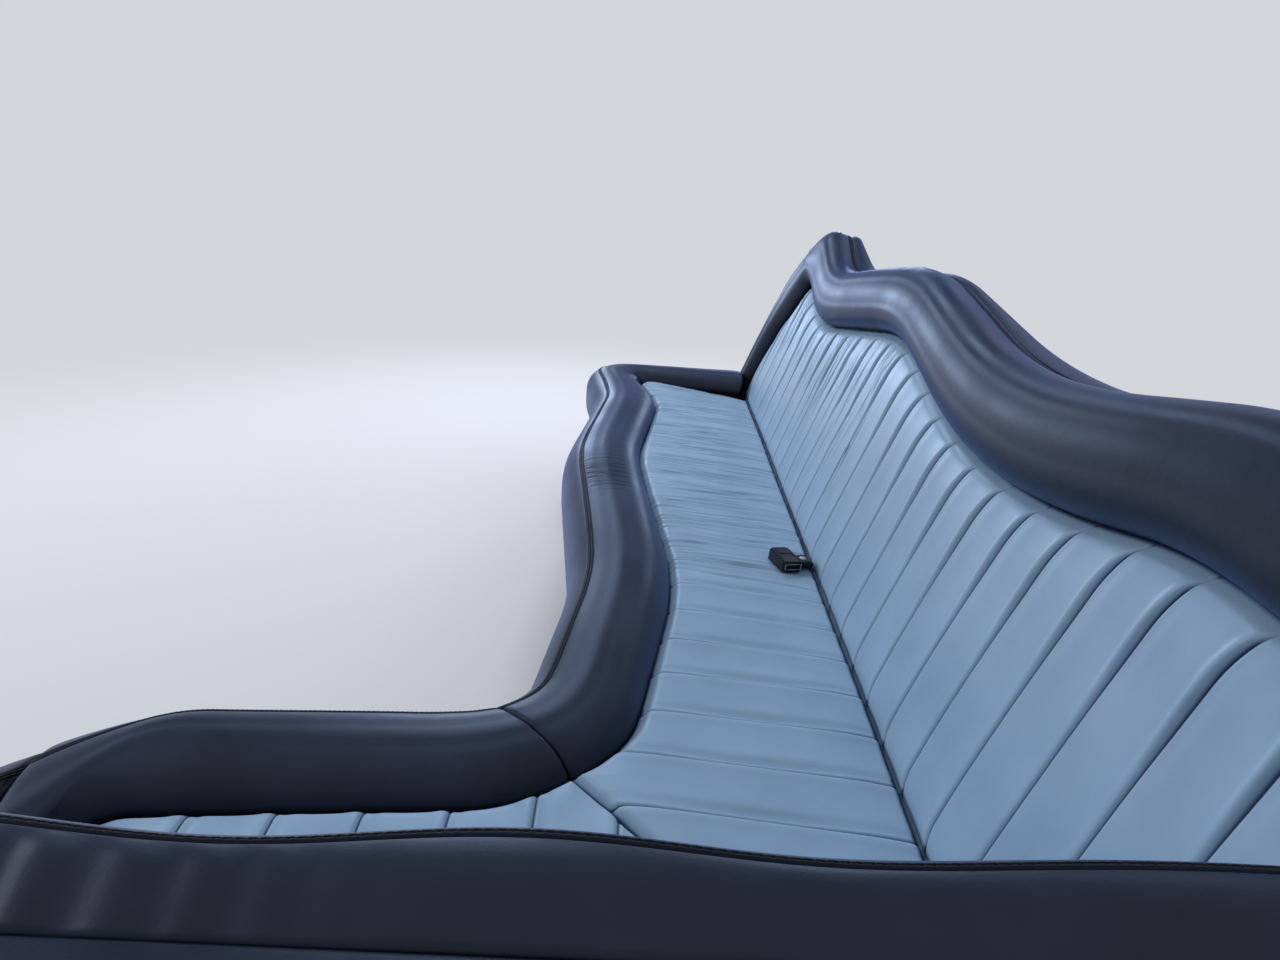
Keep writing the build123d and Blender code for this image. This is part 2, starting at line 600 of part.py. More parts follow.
# Base: decks, plinths, rails and ribs of plywood. The decks are sawn from the roll's own outline
deck_rear = (WALL_X + DECK_INSET, PARTITION_Y - DECK_INSET)
DECK_BUTT = Plane.YZ.offset(CREASE_X - FAR_EDGE_DEPTH)
with BuildPart() as deck:
    with BuildSketch(Plane.XY.offset(BASE_HEIGHT)):
        with BuildLine():
            outline(edge_points(deck_rear), edge_radii)
        make_face()
        offset(amount=-DECK_INSET)
    extrude(amount=DECK_THICK)

with BuildPart() as side_deck:
    add(deck.part)
    split(bisect_by=DECK_BUTT, keep=Keep.TOP)
side_deck.part.label = "side_deck"
export_step(side_deck.part, "parts/side_deck.step")

with BuildPart() as front_deck:
    add(deck.part)
    split(bisect_by=DECK_BUTT, keep=Keep.BOTTOM)
front_deck.part.label = "front_deck"
export_step(front_deck.part, "parts/front_deck.step")

# Carpeted plinth, one even step behind the roll's edge
plinth_rear = (WALL_X + PLINTH_INSET, PARTITION_Y - PLINTH_INSET)
plinth_inner = PLINTH_INSET + PLINTH_THICK
plinth_inner_rear = (WALL_X + plinth_inner * 2, PARTITION_Y - plinth_inner * 2)
with BuildPart() as plinth:
    with BuildSketch():
        with BuildLine():
            outline(edge_points(plinth_rear), edge_radii)
        make_face()
        offset(amount=-PLINTH_INSET)
        with BuildSketch(mode=Mode.SUBTRACT):
            with BuildLine():
                outline(edge_points(plinth_inner_rear), edge_radii)
            make_face()
            offset(amount=-plinth_inner)
    extrude(amount=BASE_HEIGHT)

with BuildPart() as side_plinth:
    add(plinth.part)
    split(bisect_by=SEAT_MITRE, keep=Keep.TOP)
    split(bisect_by=FAR_MITRE, keep=Keep.BOTTOM)
side_plinth.part.label = "side_plinth"
export_step(side_plinth.part, "parts/side_plinth.step")

with BuildPart() as far_end_plinth:
    add(plinth.part)
    split(bisect_by=FAR_MITRE, keep=Keep.TOP)
far_end_plinth.part.label = "far_end_plinth"
export_step(far_end_plinth.part, "parts/far_end_plinth.step")

with BuildPart() as front_plinth:
    add(plinth.part)
    split(bisect_by=SEAT_MITRE, keep=Keep.BOTTOM)
    split(bisect_by=END_MITRE, keep=Keep.BOTTOM)
front_plinth.part.label = "front_plinth"
export_step(front_plinth.part, "parts/front_plinth.step")

with BuildPart() as open_end_plinth:
    add(plinth.part)
    split(bisect_by=SEAT_MITRE, keep=Keep.BOTTOM)
    split(bisect_by=END_MITRE, keep=Keep.TOP)
open_end_plinth.part.label = "open_end_plinth"
export_step(open_end_plinth.part, "parts/open_end_plinth.step")

# Rails along the wall and the partition, and cross ribs between them and the plinths
with BuildPart() as base_frame:
    with BuildSketch():
        with BuildLine():
            outline(edge_points((WALL_X + plinth_inner, PARTITION_Y - plinth_inner)), edge_radii)
        make_face()
        offset(amount=-plinth_inner)
    extrude(amount=BASE_HEIGHT)

with BuildPart() as wall_rail:
    add(base_frame.part)
    split(bisect_by=Plane.YZ.offset(WALL_X - RAIL_THICK), keep=Keep.TOP)
wall_rail.part.label = "wall_rail"
export_step(wall_rail.part, "parts/wall_rail.step")

with BuildPart() as partition_rail:
    add(base_frame.part)
    split(bisect_by=Plane.YZ.offset(WALL_X - RAIL_THICK), keep=Keep.BOTTOM)
    split(bisect_by=Plane.XZ.offset(-PARTITION_Y - RAIL_THICK), keep=Keep.TOP)
partition_rail.part.label = "partition_rail"
export_step(partition_rail.part, "parts/partition_rail.step")

side_rib_starts = [share * BENCH_LENGTH for share in SIDE_RIBS]
rib_length = WALL_X - RAIL_THICK - CREASE_X + FAR_EDGE_DEPTH
with BuildPart() as side_ribs:
    for start in side_rib_starts:
        with BuildSketch():
            with Locations((CREASE_X - FAR_EDGE_DEPTH, start)):
                Rectangle(rib_length, RIB_THICK, align=(Align.MIN, Align.MIN))
        extrude(amount=BASE_HEIGHT)
    add(base_frame.part, mode=Mode.INTERSECT)
side_ribs.part.label = "side_ribs"
export_step(side_ribs.part, "parts/side_ribs.step")

with BuildPart() as front_ribs:
    for share in FRONT_RIBS:
        with BuildSketch():
            with Locations((share * BENCH_WIDTH, PARTITION_Y + RAIL_THICK)):
                Rectangle(RIB_THICK, END_EDGE_DEPTH + FRONT_BACK_SPACE, align=(Align.MIN, Align.MIN))
        extrude(amount=BASE_HEIGHT)
    add(base_frame.part, mode=Mode.INTERSECT)
front_ribs.part.label = "front_ribs"
export_step(front_ribs.part, "parts/front_ribs.step")

# Steel angles that hold the base to the floor, screwed against the ribs' rear sides
bracket_profile = [
    (0, 0), (BRACKET_LEG, 0), (BRACKET_LEG, BRACKET_STEEL), (BRACKET_STEEL, BRACKET_STEEL),
    (BRACKET_STEEL, BRACKET_LEG), (0, BRACKET_LEG),
]
side_bracket_places = [
    (x, start + RIB_THICK)
    for start in (side_rib_starts[1], side_rib_starts[3])
    for x in (WALL_X - BRACKET_FAR_X, WALL_X - BRACKET_NEAR_X)
]
hole_place = (BRACKET_LEG + BRACKET_STEEL) / 2
with BuildPart() as side_floor_brackets:
    for x, y in side_bracket_places:
        with BuildSketch(Plane(origin=(x - BRACKET_WIDTH / 2, y, 0), x_dir=(0, 1, 0), z_dir=(1, 0, 0))):
            with BuildLine():
                Polyline(*bracket_profile, close=True)
            make_face()
        extrude(amount=BRACKET_WIDTH)
    with Locations(*[(x, y + hole_place, BRACKET_STEEL) for x, y in side_bracket_places]):
        Hole(radius=BRACKET_HOLE_RADIUS, depth=BRACKET_STEEL)
side_floor_brackets.part.label = "side_floor_brackets"
export_step(side_floor_brackets.part, "parts/side_floor_brackets.step")

front_bracket_places = [
    (share * BENCH_WIDTH + RIB_THICK, PARTITION_Y + FRONT_BACK_SPACE * step)
    for share in FRONT_RIBS for step in FRONT_BRACKET_STEPS
]
with BuildPart() as front_floor_brackets:
    for x, y in front_bracket_places:
        with BuildSketch(Plane(origin=(x, y + BRACKET_WIDTH / 2, 0), x_dir=(1, 0, 0), z_dir=(0, -1, 0))):
            with BuildLine():
                Polyline(*bracket_profile, close=True)
            make_face()
        extrude(amount=BRACKET_WIDTH)
    with Locations(*[(x + hole_place, y, BRACKET_STEEL) for x, y in front_bracket_places]):
        Hole(radius=BRACKET_HOLE_RADIUS, depth=BRACKET_STEEL)
front_floor_brackets.part.label = "front_floor_brackets"
export_step(front_floor_brackets.part, "parts/front_floor_brackets.step")

# Lap belt buckle, lying on the seat beside the crease
buckle_seat = side_seat_grain.from_local_coords((BUCKLE_Y, SEW_GAP, -BUCKLE_FROM_CREASE))
buckle_turn = radians(BUCKLE_TURN)
BUCKLE_PLANE = Plane(
    origin=buckle_seat, z_dir=side_seat_grain.y_dir,
    x_dir=(-cos(buckle_turn) * cos(rise), -sin(buckle_turn), cos(buckle_turn) * sin(rise)),
)
buckle_up = Axis(BUCKLE_PLANE.origin, BUCKLE_PLANE.z_dir)
button_place = (BUCKLE_LENGTH / 2 - BUTTON_LENGTH / 2 - BUTTON_MARGIN, 0)
with BuildPart() as belt_buckle:
    with BuildSketch(BUCKLE_PLANE):
        Rectangle(BUCKLE_LENGTH, BUCKLE_WIDTH)
        chamfer(vertices(), BUCKLE_CORNER)
    extrude(amount=BUCKLE_THICK)
    chamfer(belt_buckle.faces().sort_by(buckle_up)[-1].edges(), BUCKLE_EDGE)
    with BuildSketch(BUCKLE_PLANE.offset(BUCKLE_THICK)):
        with Locations(button_place):
            Rectangle(BUTTON_LENGTH, BUTTON_WIDTH)
    extrude(amount=-BUTTON_DEPTH, mode=Mode.SUBTRACT)
    with BuildSketch(Plane(BUCKLE_PLANE.from_local_coords((BUCKLE_LENGTH / 2, 0, BUCKLE_THICK / 2)),
                           x_dir=BUCKLE_PLANE.y_dir, z_dir=BUCKLE_PLANE.x_dir)):
        Rectangle(SLOT_WIDTH, SLOT_HEIGHT)
    extrude(amount=-SLOT_DEPTH, mode=Mode.SUBTRACT)
belt_buckle.part.label = "belt_buckle"
export_step(belt_buckle.part, "parts/belt_buckle.step")

with BuildPart() as belt_button:
    with BuildSketch(BUCKLE_PLANE.offset(BUCKLE_THICK - BUTTON_DEPTH)):
        with Locations(button_place):
            Rectangle(BUTTON_LENGTH - BUTTON_GAP * 2, BUTTON_WIDTH - BUTTON_GAP * 2)
    extrude(amount=BUTTON_DEPTH - BUTTON_SUNK)
belt_button.part.label = "belt_button"
export_step(belt_button.part, "parts/belt_button.step")

# Stiff sleeve between the buckle and the crease, resting on the webbing
sleeve_place = (SLEEVE_SHIFT, BUCKLE_WIDTH / 2 + SEW_GAP + SLEEVE_LENGTH / 2)
with BuildPart() as belt_sleeve:
    with BuildSketch(BUCKLE_PLANE.offset(WEBBING_THICK + SEW_GAP)):
        with Locations(sleeve_place):
            Rectangle(SLEEVE_WIDTH, SLEEVE_LENGTH)
    extrude(amount=SLEEVE_THICK)
    chamfer(belt_sleeve.faces().sort_by(buckle_up)[-1].edges(), SLEEVE_EDGE)
belt_sleeve.part.label = "belt_sleeve"
export_step(belt_sleeve.part, "parts/belt_sleeve.step")

# Webbing from below the sleeve into the crease and down a slit behind the cushion
webbing_depth = SEW_GAP * 2 + WEBBING_THICK / 2
webbing_rise = WEBBING_THICK / 2 + SEW_GAP
webbing_start = side_seat_grain.from_local_coords((0, webbing_rise, -WEBBING_SHOWN))
webbing_bend = SIDE_FACE.from_local_coords((0, webbing_rise, -webbing_depth))
webbing_foot = SIDE_FACE.from_local_coords((0, back_foot, -webbing_depth))
webbing_side = BUCKLE_Y + WEBBING_SHIFT + WEBBING_WIDTH / 2
with BuildPart() as belt_webbing:
    with BuildSketch(Plane(origin=(0, webbing_side, 0), x_dir=(1, 0, 0), z_dir=(0, -1, 0))):
        with BuildLine():
            FilletPolyline(
                (webbing_start.X, webbing_start.Z), (webbing_bend.X, webbing_bend.Z),
                (webbing_foot.X, webbing_foot.Z), radius=WEBBING_BEND,
            )
        trace(line_width=WEBBING_THICK)
    extrude(amount=WEBBING_WIDTH)
    split(bisect_by=Plane.XY.offset(DECK_HEIGHT + SEW_GAP), keep=Keep.TOP)
belt_webbing.part.label = "belt_webbing"
export_step(belt_webbing.part, "parts/belt_webbing.step")
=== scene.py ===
from math import cos, radians, sin, tan

import bpy
import numpy as np
from mathutils import Matrix, Vector


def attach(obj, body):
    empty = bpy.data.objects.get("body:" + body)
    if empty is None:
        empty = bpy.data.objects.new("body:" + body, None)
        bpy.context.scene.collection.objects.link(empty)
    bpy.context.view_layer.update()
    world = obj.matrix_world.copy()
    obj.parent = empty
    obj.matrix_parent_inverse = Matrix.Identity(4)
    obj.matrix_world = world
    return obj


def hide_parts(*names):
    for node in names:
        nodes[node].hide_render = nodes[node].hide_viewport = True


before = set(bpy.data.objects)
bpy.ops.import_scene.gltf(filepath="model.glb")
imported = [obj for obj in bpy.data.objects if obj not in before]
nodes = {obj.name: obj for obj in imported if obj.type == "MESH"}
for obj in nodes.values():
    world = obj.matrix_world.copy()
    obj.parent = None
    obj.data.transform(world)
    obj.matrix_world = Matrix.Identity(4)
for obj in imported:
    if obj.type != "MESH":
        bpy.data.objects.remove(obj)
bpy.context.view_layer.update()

# Base carcass: decks, rails, ribs and backrest boards, sawn from 15 and 18 mm birch plywood, glued and
# screwed together. It is raw inside the bench: pale straw face veneer with long, faint grain streaks.


def linear(code):
    """Linear red, green, blue and alpha of an sRGB hex colour: the standard power curve with its toe."""
    share = np.array([int(code[i:i + 2], 16) for i in (1, 3, 5)]) / 255
    return (*np.where(share < 0.04045, share / 12.92, ((share + 0.055) / 1.055) ** 2.4), 1.0)


def add(tree, kind, inputs=(), **settings):
    """Add one node. `inputs` gives, by name or number, a constant or another node's output."""
    made = tree.nodes.new(kind)
    for name, value in settings.items():
        setattr(made, name, value)
    for name, value in dict(inputs).items():
        if isinstance(value, bpy.types.NodeSocket):
            tree.links.new(value, made.inputs[name])
        else:
            made.inputs[name].default_value = value
    return made


def finish(name, values):
    """A material with one Principled shader, whose even values sit on the shader's own sockets. It comes
    with its node tree, its shader and, for textures, each point's place in metres."""
    material = bpy.data.materials.new(name)
    material.use_nodes = True
    tree = material.node_tree
    shader = tree.nodes["Principled BSDF"]
    for key, value in values.items():
        shader.inputs[key].default_value = value
    return material, tree, shader, add(tree, "ShaderNodeTexCoord").outputs["Object"]


def noise(tree, place, scale, detail, roughness=0.5):
    """Cloudy noise from 0 to 1, with about `scale` clouds to the metre."""
    return add(tree, "ShaderNodeTexNoise", {"Vector": place, "Scale": scale, "Detail": detail,
                                            "Roughness": roughness}).outputs["Fac"]


def ranged(tree, value, low, high, start=0.0, end=1.0, **settings):
    """A value taken from the range `start` to `end` into the range `low` to `high`, and held there."""
    return add(tree, "ShaderNodeMapRange", {"Value": value, "From Min": start, "From Max": end,
                                            "To Min": low, "To Max": high}, **settings).outputs["Result"]


def reckon(tree, operation, first, second):
    """One step of arithmetic on two values."""
    return add(tree, "ShaderNodeMath", {0: first, 1: second}, operation=operation).outputs[0]


def relief(tree, shader, height, strength, depth, **settings):
    """Shade the surface as if a height of 1 stood `depth` metres proud of it."""
    bump = add(tree, "ShaderNodeBump", {"Height": height, "Strength": strength, "Distance": depth},
               **settings)
    tree.links.new(bump.outputs["Normal"], shader.inputs["Normal"])


def tones(tree, shader, share, stops):
    """Colour the surface by a Color Ramp from `share`, its stops given as (place, hex colour)."""
    ramp = add(tree, "ShaderNodeValToRGB", {"Fac": share})
    while len(ramp.color_ramp.elements) < len(stops):
        ramp.color_ramp.elements.new(0.5)
    for element, (place, code) in zip(ramp.color_ramp.elements, stops):
        element.position, element.color = place, linear(code)
    tree.links.new(ramp.outputs["Color"], shader.inputs["Base Color"])


def paint(piece, material):
    piece.data.materials.clear()
    piece.data.materials.append(material)


# Birch plywood: rotary cut veneer, sanded. Matt, with streaks about 4 mm wide that run along the sheet.
plywood, tree, shader, place = finish("birch_plywood", {"Roughness": 0.62, "Specular IOR Level": 0.35})
along = add(tree, "ShaderNodeMapping", {"Vector": place, "Scale": (240.0, 9.0, 240.0)}).outputs["Vector"]
streak = noise(tree, along, 1.0, 5.0, 0.6)
mixed = add(tree, "ShaderNodeMix", {"Factor": 0.35, 2: streak, 3: noise(tree, place, 7.0, 2.0)})
tones(tree, shader, mixed.outputs[0], [(0.3, "#b98f5c"), (0.5, "#d3ad7a"), (0.7, "#e2c595")])
relief(tree, shader, streak, 0.25, 0.0004)
for name in ("side_deck", "front_deck", "wall_rail", "partition_rail", "side_ribs", "front_ribs",
             "side_back_board", "side_back_ribs", "front_back_board", "front_back_ribs"):
    paint(nodes[name], plywood)

# Floor angles: 4 mm bright zinc plated steel, bent, and bolted through the cabin floor inside the plinth.
# Zinc plate is a cool grey metal with a soft, slightly mottled gloss.
zinc, tree, shader, place = finish("zinc_plated_steel", {"Metallic": 1.0, "Base Color": linear("#b9bcc0")})
tree.links.new(ranged(tree, noise(tree, place, 160.0, 3.0), 0.28, 0.5), shader.inputs["Roughness"])
for name in ("side_floor_brackets", "front_floor_brackets"):
    paint(nodes[name], zinc)

# Plinth: the same plywood bent round the roll's outline and covered in the cabin's short cut pile carpet.
# Carpet is matt taupe, its tufts about 2.5 mm apart, with darker gaps between them.
carpet, tree, shader, place = finish("taupe_carpet", {"Roughness": 0.95, "Specular IOR Level": 0.1,
                                                      "Sheen Weight": 0.3, "Sheen Roughness": 0.5})
tuft = add(tree, "ShaderNodeTexVoronoi", {"Vector": place, "Scale": 400.0, "Randomness": 0.9})
tuft = tuft.outputs["Distance"]
mixed = add(tree, "ShaderNodeMix", {"Factor": 0.45, 2: tuft, 3: noise(tree, place, 14.0, 3.0)})
tones(tree, shader, mixed.outputs[0], [(0.15, "#5b5143"), (0.5, "#463d31"), (0.8, "#2c261e")])
relief(tree, shader, tuft, 0.8, 0.0015, invert=True)
for name in ("side_plinth", "front_plinth", "open_end_plinth", "far_end_plinth"):
    paint(nodes[name], carpet)

# Seat roll: a dark leather sleeve over shaped foam, sewn in four lengths that meet in mitre seams. It rises
# out of the seam with the light cushions, and is drawn down over the deck's edge and stapled underneath.

# The bench's main sizes, in millimetres
WALL_X, OPEN_X, PARTITION_Y, FAR_Y = 660.0, -660.0, -1280.0, 1280.0
CREASE_X, CREASE_Y, CREASE_HEIGHT = 415.0, -1060.0, 320.0
ROLL_TOP, ROLL_WIDTH, ROLL_CORE, SHOULDER = 376.0, 172.0, 306.0, 132.0
SEAT_ANGLE, SIDE_LEAN, FRONT_LEAN = radians(5.7), radians(20.0), radians(17.0)
BACK_CROWN, BACK_FOAM = 26.0, 45.0


def length_along(line):
    """The length from a line's first point to each of its points: the running sum of its steps."""
    return np.concatenate([[0], np.cumsum(np.linalg.norm(np.diff(line, axis=0), axis=1))])


def sampled(at, measure, line):
    """Points of a line where a measure that grows along it has the values `at`."""
    return np.stack([np.interp(at, measure, column) for column in line.T], 1)


def unit(vectors):
    return vectors / np.linalg.norm(vectors, axis=-1, keepdims=True)


def rounded_run(corners, radii, step=2.0):
    """Points `step` apart along straight runs joined by tangent arcs.

    Each arc's centre lies on its corner's bisector, at the radius over the sine of half the corner's
    angle, and its points turn evenly from one tangent point to the other."""
    corners = np.array(corners, float)
    parts = [corners[:1]]
    for before, corner, after, radius in zip(corners, corners[1:], corners[2:], radii):
        back = (before - corner) / np.linalg.norm(before - corner)
        on = (after - corner) / np.linalg.norm(after - corner)
        half = np.arccos(np.clip(back @ on, -1, 1)) / 2
        centre = corner + (back + on) / np.linalg.norm(back + on) * radius / np.sin(half)
        turn = np.pi - 2 * half
        share = np.linspace(0, 1, 2 + int(radius * turn / step))[:, None]
        first = corner + back * radius / np.tan(half) - centre
        last = corner + on * radius / np.tan(half) - centre
        arc = (np.sin((1 - share) * turn) * first + np.sin(share * turn) * last) / np.sin(turn)
        parts.append(centre + arc)
    run = np.concatenate([*parts, corners[-1:]])
    length = length_along(run)
    return sampled(np.linspace(0, length[-1], int(length[-1] / step) + 1), length, run)


def portion(run, start, end, shares):
    """Points at the given shares between the places where the run crosses two lines, each (point, normal)."""
    places = []
    for point, normal in (start, end):
        side = (run - np.array(point)) @ np.array(normal)
        i = np.flatnonzero(np.sign(side[1:]) != np.sign(side[:-1]))[0]
        places.append(i + side[i] / (side[i] - side[i + 1]))
    return sampled(places[0] + shares * (places[1] - places[0]), np.arange(len(run)), run)


def spaced(length, step, close=()):
    """Shares of a length, `step` apart, with extra ones at the distances `close` from both ends."""
    even = np.linspace(0, length, int(length / step) + 1)
    near = np.array(close, float)
    return np.unique(np.concatenate([even, near, length - near]).round(3)) / length


def bell(distance, width):
    """The bell curve: 1 at no distance, 0.37 at one width."""
    return np.exp(-(distance / width) ** 2)


# A felled seam: places of its needle lines and of the welts between them, and of the mesh columns across it
NEEDLES, WELTS, FELLED_COLUMNS = (-4.6, 0.0, 4.6), (-2.3, 2.3), np.arange(-9.9, 10.0, 0.66)


def felled(offset):
    """Depth across a felled seam, in millimetres: narrow needle lines, with soft welts between them."""
    lines, welts = sum(bell(offset - n, 0.95) for n in NEEDLES), sum(bell(offset - w, 1.7) for w in WELTS)
    return 1.7 * lines - 0.8 * welts + 0.5 * bell(offset, 9.0)


def needle_lines(offset):
    """How dark the seam's painted shade is, from 0 to 1: each needle line's hollow, and less between them."""
    return np.max([0.75 * bell(offset, 7.5)] + [bell(offset - needle, 1.0) for needle in NEEDLES], 0)


def placed(name, data):
    """A new object in the scene, its own origin on the scene's."""
    made = bpy.data.objects.new(name, data)
    bpy.context.scene.collection.objects.link(made)
    return made


def closed_form(name, loops, shade_and_soil=None, joined=False):
    """A mesh through closed cross-sections, one per row of `loops`, in millimetres.

    Row and ring neighbours make four-sided faces. The last row meets the first one if `joined`, and
    otherwise each end gets a face. All are turned round if the form's volume is negative."""
    rows, ring = loops.shape[:2]
    points = loops.reshape(-1, 3)
    i, j = np.meshgrid(np.arange(rows if joined else rows - 1), np.arange(ring), indexing="ij")
    k, after = (j + 1) % ring, (i + 1) % rows
    quads = np.stack([i * ring + j, i * ring + k, after * ring + k, after * ring + j], -1).reshape(-1, 4)
    ends = [] if joined else [np.arange(ring)[::-1], np.arange(ring) + (rows - 1) * ring]
    middle = points - points.mean(0)
    a, b, c, d = (middle[quads[:, n]] for n in range(4))
    if np.einsum("ij,ij->", a, np.cross(b, c) + np.cross(c, d)) < 0:
        quads, ends = quads[:, ::-1], [e[::-1] for e in ends]
    corners = np.concatenate([quads.ravel(), *ends]).astype(np.int32)
    starts = np.append(np.arange(len(quads)) * 4, len(quads) * 4 + ring * np.arange(len(ends)))
    mesh = bpy.data.meshes.new(name)
    mesh.vertices.add(len(points))
    mesh.vertices.foreach_set("co", (points / 1000).astype(np.float32).ravel())
    mesh.loops.add(len(corners))
    mesh.loops.foreach_set("vertex_index", corners)
    mesh.polygons.add(len(starts))
    mesh.polygons.foreach_set("loop_start", starts.astype(np.int32))
    mesh.update(calc_edges=True)
    mesh.shade_smooth()
    # The attribute holds painted shade, with a little soil, for the leather's colour and gloss
    if shade_and_soil is not None:
        marks = mesh.attributes.new("shade_and_soil", "FLOAT", "POINT")
        marks.data.foreach_set("value", shade_and_soil.astype(np.float32).ravel())
    return placed(name, mesh)


def leather(name, stops, roughness, grain, values):
    """Pigmented upholstery leather. Its tone wanders slightly over a hand's width. Where the piece's own
    attribute marks a seam, crease or fold, it darkens and loses its gloss: painted shade, with a little soil.
    Its pebbles are about 1 mm in the real hide and 2 mm here, so that they show."""
    material, tree, shader, place = finish(name, values)
    hide = noise(tree, place, 9.0, 4.0, 0.55)
    shade_and_soil = add(tree, "ShaderNodeAttribute", attribute_name="shade_and_soil").outputs["Fac"]
    tones(tree, shader, reckon(tree, "MAXIMUM", ranged(tree, hide, 0.45, 0.0, 0.3, 0.7), shade_and_soil), stops)
    for key in ("Specular IOR Level", "Sheen Weight"):
        tree.links.new(ranged(tree, shade_and_soil, values[key], 0.1 * values[key]), shader.inputs[key])
    gloss = ranged(tree, hide, roughness - 0.05, roughness + 0.06, 0.3, 0.7)
    tree.links.new(gloss, shader.inputs["Roughness"])
    pebble = add(tree, "ShaderNodeTexVoronoi", {"Vector": place, "Scale": 500.0, "Randomness": 0.85},
                 feature="SMOOTH_F1")
    small = add(tree, "ShaderNodeBump", {"Height": pebble.outputs["Distance"], "Strength": grain,
                                         "Distance": 0.0006}, invert=True)
    large = add(tree, "ShaderNodeBump", {"Height": noise(tree, place, 60.0, 3.0), "Strength": 0.12,
                                         "Distance": 0.002, "Normal": small.outputs["Normal"]})
    tree.links.new(large.outputs["Normal"], shader.inputs["Normal"])
    return material


# Dark leather: near black with a navy cast, semi-gloss finish. The blue of its sheen and specular tints is
# painted reflection of a blue sky, and its darkest stop is painted shade, with a little soil, in seams and
# creases.
dark_leather = leather("dark_upholstery_leather", [(0.0, "#292d36"), (0.45, "#1f2229"), (1.0, "#050507")],
                       0.39, 0.10, {"Specular IOR Level": 0.22, "Specular Tint": linear("#b9c9f0"),
                                    "Sheen Weight": 0.4, "Sheen Roughness": 0.35,
                                    "Sheen Tint": linear("#4d80dc")})

# The roll's seam in plan: its place at the open end, the depth of seat at the corner and at the far end, and
# its waves between those, each by its share of the way and its depth of seat
OPEN_SEAM_X, END_DEPTH, FAR_SEAM_Y = OPEN_X + 198, 340, FAR_Y - 155
wave_share, wave_depth = np.array([(0.287, 250.0), (0.614, 319.0), (0.879, 269.0)]).T
wave_y = CREASE_Y + END_DEPTH + wave_share * (FAR_SEAM_Y - CREASE_Y - END_DEPTH)
seam_wave = np.stack([CREASE_X - wave_depth, wave_y], 1)
edge_wave = seam_wave - (ROLL_WIDTH, 0)
seat_seam = rounded_run([(OPEN_SEAM_X, CREASE_Y - 60), (OPEN_SEAM_X, CREASE_Y + 296),
                         (CREASE_X - 330, CREASE_Y + END_DEPTH), *seam_wave,
                         (CREASE_X - END_DEPTH, FAR_SEAM_Y), (CREASE_X + 60, FAR_Y - 231.5)],
                        [70, 220, 900, 900, 400, 40])
seat_edge = rounded_run([(OPEN_X, CREASE_Y - 60), (OPEN_X, CREASE_Y + 480), (CREASE_X - 460, CREASE_Y + 500),
                         *edge_wave, (CREASE_X - 500, FAR_Y), (CREASE_X + 60, FAR_Y)],
                        [280, 90, 900, 900, 400, 100])


def dome(rise, crown, fall, seam, shoulder, swell, edge):
    """A padded top in section, in three widths and the heights between them: from `seam` to `shoulder` on a
    quarter ellipse, over a crown that swells as half a sine wave, down to `edge` on a quarter ellipse."""
    turn, share = np.linspace(0, np.pi / 2, 40), np.linspace(0, 1, 30)[1:-1]
    return [np.stack([rise - rise * np.cos(turn), seam + (shoulder - seam) * np.sin(turn)], 1),
            np.stack([rise + crown * share, shoulder + swell * np.sin(np.pi * share)], 1),
            np.stack([rise + crown + fall * np.sin(turn), edge + (shoulder - edge) * np.cos(turn)], 1)]


def sewn_section(outside, inside, stitched, count):
    """Columns round a section: `count` even ones along the leather outside, fine ones across the seam that
    lies `stitched` along it, and the corners inside. Each has its two sizes and its length along."""
    line = np.concatenate([outside, inside])
    length = length_along(line)
    skin = length[len(outside) - 1]
    even = np.linspace(0, skin, count)
    even = even[np.abs(even - stitched) > 11]
    at = np.unique(np.concatenate([even, stitched + FELLED_COLUMNS, length[len(outside):]]))
    return np.column_stack([sampled(at, length, line), at]), stitched, skin


def roll_section():
    """Across the roll, from its seam to its front: a dome, then down the front, under the deck's edge and
    back inside. Columns: distance from the seam, height, and length along the leather."""
    top = dome(60, 36, 76, ROLL_TOP - 44, ROLL_TOP - 2, 2.5, ROLL_TOP - 80)
    front = np.array([[172.6, 280], [172.4, 262], [171.0, 244], [169.0, 232], [165.0, 223.5], [159.0, 219.5],
                      [151.0, 219.0]])
    inside = np.array([[151.0, 236.0], [80.0, 242.0], [4.0, 244.0], [1.5, 300.0]])
    outside = np.concatenate([*top, front])
    stitched = np.interp(SHOULDER, outside[:, 0], length_along(outside))
    return sewn_section(outside, inside, stitched, 48)


section, stitched, skin = roll_section()
on_skin, seat_offsets = section[:, 2] <= skin, section[:, 2] - stitched
# Distances from an end seam, in millimetres, of the mesh rows beside it
END_ROWS = (1, 2.2, 3.6, 5.5, 8, 11, 15)


